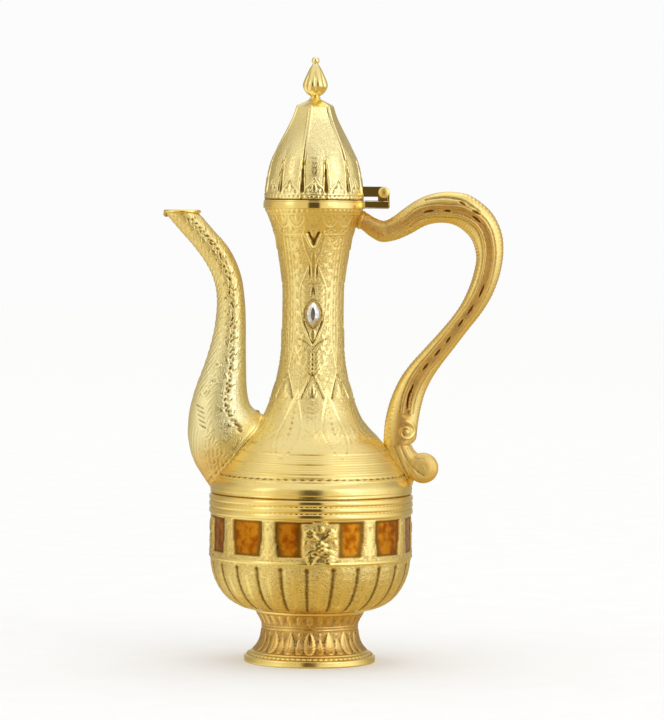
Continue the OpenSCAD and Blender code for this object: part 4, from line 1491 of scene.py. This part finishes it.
# What stands for each CAD node, its body and its material slot. Their order decides which
# random numbers each piece draws.
PIECES = {
    "neck_shell": (neck_shell, "pot", "gold_engraved"),
    "rim_collar": (rim_collar, "pot", "gold_polished"),
    "lid": (lid, "lid", "gold_engraved"),
    "finial": (finial, "lid", "gold_polished"),
    "vessel": (vessel, "pot", "gold_engraved"),
    "belt_ring": (belt_ring, "pot", "gold_polished"),
    "foot": (foot, "pot", "gold_engraved"),
    "base_plate": (base_plate, "pot", "gold_plain"),
    "spout": (spout, "pot", "gold_engraved"),
    "spout_lip": (spout_lip, "pot", "gold_polished"),
    "handle": (handle, "pot", "gold_engraved"),
    "handle_bracket": (handle_bracket, "pot", "gold_engraved"),
    "gems": (gems, "pot", "clear_stone"),
    "gem_bezels": (gem_bezels, "pot", "gold_polished"),
    "hinge_body_leaf": (hinge_body_leaf, "pot", "gold_polished"),
    "hinge_pin": (hinge_pin, "pot", "gold_polished"),
    "hinge_lid_leaf": (hinge_lid_leaf, "lid", "gold_polished"),
}

# The rest stay as in the CAD.
CAD_PIECES = {
    "foot_stud": "steel", "foot_washer": "steel", "foot_nut": "steel", "handle_screws": "steel",
    "finial_washer": "steel", "finial_nut": "steel", "handle_seals": "seal", "lid_skirt": "gold_plain",
}


def paint(piece, slot):
    piece.data.materials.clear()
    piece.data.materials.append(MATERIALS[slot])


for node, (build, body, slot) in PIECES.items():
    made = build()
    paint(made, slot)
    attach(made, body)
    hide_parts(node)
for node, slot in CAD_PIECES.items():
    paint(frame["nodes"][node], slot)


# ---- studio

# Light of the tent round the pot, by the angle from straight in front, left negative. It is
# warm where the photograph's pot mirrors its gilt tray and cups, and dark behind the camera.
TENT = [
    (-180, (0.70, 0.65, 0.52)), (-158, (0.44, 0.38, 0.27)), (-122, (0.46, 0.38, 0.23)),
    (-100, (0.70, 0.62, 0.43)), (-75, (0.86, 0.79, 0.57)), (-56, (1.02, 0.98, 0.78)),
    (-38, (0.78, 0.69, 0.45)), (-15, (0.74, 0.64, 0.39)), (-11, (0.10, 0.07, 0.03)),
    (11, (0.10, 0.07, 0.03)), (15, (0.82, 0.72, 0.46)), (34, (1.00, 0.97, 0.78)),
    (50, (1.20, 1.22, 1.14)), (78, (1.16, 1.16, 1.04)), (105, (0.78, 0.70, 0.50)),
    (130, (0.46, 0.38, 0.24)), (158, (0.44, 0.38, 0.27)), (180, (0.70, 0.65, 0.52)),
]
TENT_TOP = (0.88, 0.85, 0.74)            # light from overhead
TENT_UNDER = (0.62, 0.46, 0.18)          # light from below
TENT_UNDER_LEFT = (1.02, 0.96, 0.72)     # and from below on the left
PAPER = (0.9, 0.9, 0.895)
PAPER_GLOW = (0.055, 0.108)              # what the floor needs to match the backdrop, near and far
BACKDROP = (0.97, 0.97, 0.97)            # what the camera sees behind the pot
TABLE_R = 6000
EYE = Vector((0.0, -1.915, 0.2263))
LOOK_AT = Vector((0.0, 0.0, 0.15))       # where the lamps point
PICTURE_SHARE = 0.84                     # of the picture's height that the pot fills
CAMERA_ROLL = 0.6                        # degrees
SENSOR = 36


def floor():
    """A wide round table of pale paper with a faint grain."""
    n = Shader("paper")
    distance = n.add("ShaderNodeVectorMath", {0: n.place()}, "Value", operation="LENGTH")
    grain = n.fit(n.noise(40), 0.3, 0.7)
    paper = n.finish({
        "Base Color": n.mix(grain, PAPER, tuple(c * 0.985 for c in PAPER)),
        "Roughness": 0.9,
        "Specular IOR Level": 0.0,
        "Emission Color": (1, 1, 1, 1),
        "Emission Strength": n.fit(distance, 0.4, 2.0, *PAPER_GLOW),
    })
    line = [[r, -0.02] for r in np.linspace(5, TABLE_R, 12)] + [[TABLE_R, -20], [5, -20]]
    disc = skin("floor", turned(np.array(line), 96), loop=False)
    disc.data.materials.append(paper)
    disc.visible_glossy = False


def softbox(name, azimuth, height, distance, size, power):
    """An area light that looks at the pot's middle."""
    lamp = bpy.data.lights.new(name, "AREA")
    lamp.shape = "RECTANGLE"
    lamp.size, lamp.size_y = size
    lamp.energy = power
    a = math.radians(azimuth)
    made = add_object(name, lamp)
    made.location = (distance * math.sin(a), -distance * math.cos(a), height)
    made.rotation_euler = (LOOK_AT - made.location).to_track_quat("-Z", "Y").to_euler()
    made.visible_camera = False


def world():
    """A light tent with a dark gap for the camera; the camera itself sees a pale backdrop."""
    sky = bpy.data.worlds.new("studio")
    sky.use_nodes = True
    bpy.context.scene.world = sky
    n = Nodes(sky.node_tree)
    way = n.place("Generated")
    x, y, z = (n.add("ShaderNodeSeparateXYZ", {0: way}, axis) for axis in "XYZ")
    turn = n.math("ARCTAN2", x, n.math("MULTIPLY", y, -1))
    share = n.add("ShaderNodeMapRange", {"Value": turn, "From Min": -math.pi, "From Max": math.pi},
                  "Result")
    sides = n.add("ShaderNodeValToRGB", {0: share}, "Color")
    ramp = sides.node.color_ramp
    while len(ramp.elements) < len(TENT):
        ramp.elements.new(1.0)
    for element, (degrees, shade) in zip(ramp.elements, TENT):
        element.position = degrees / 360 + 0.5
        element.color = (*shade, 1)
    tent = n.mix(n.fit(z, 0.5, 0.85), sides, TENT_TOP)
    under = n.mix(n.fit(x, -0.35, -0.8), TENT_UNDER, TENT_UNDER_LEFT)
    tent = n.mix(n.fit(z, -0.15, -0.5), tent, under)
    rays = (n.add("ShaderNodeLightPath", {}, f"Is {kind} Ray") for kind in ("Camera", "Diffuse"))
    n.feed(n.tree.nodes["Background"].inputs["Color"], n.mix(n.math("MAXIMUM", *rays), tent, BACKDROP))


def camera():
    """At the photograph's eye level, straight in front, with a longer lens."""
    lowest, highest = (Vector(corner) for corner in cad_box)
    middle = (lowest + highest) / 2
    middle.y = 0
    lens = bpy.data.cameras.new("camera")
    lens.sensor_fit = "VERTICAL"
    lens.sensor_height = SENSOR
    lens.lens = SENSOR * PICTURE_SHARE * (middle - EYE).length / (highest - lowest).z
    made = add_object("camera", lens)
    made.location = EYE
    made.rotation_euler = (middle - EYE).to_track_quat("-Z", "Y").to_euler()
    made.rotation_euler.rotate_axis("Z", math.radians(CAMERA_ROLL))
    bpy.context.scene.camera = made


floor()
world()
softbox("box_left", -58, 0.7, 1.3, (0.5, 1.0), 0.6)
softbox("box_right", 44, 0.7, 1.3, (0.6, 1.1), 1.4)
softbox("box_top", 150, 1.5, 0.5, (0.9, 0.9), 1.6)
camera()
bpy.context.scene.view_settings.view_transform = "Standard"
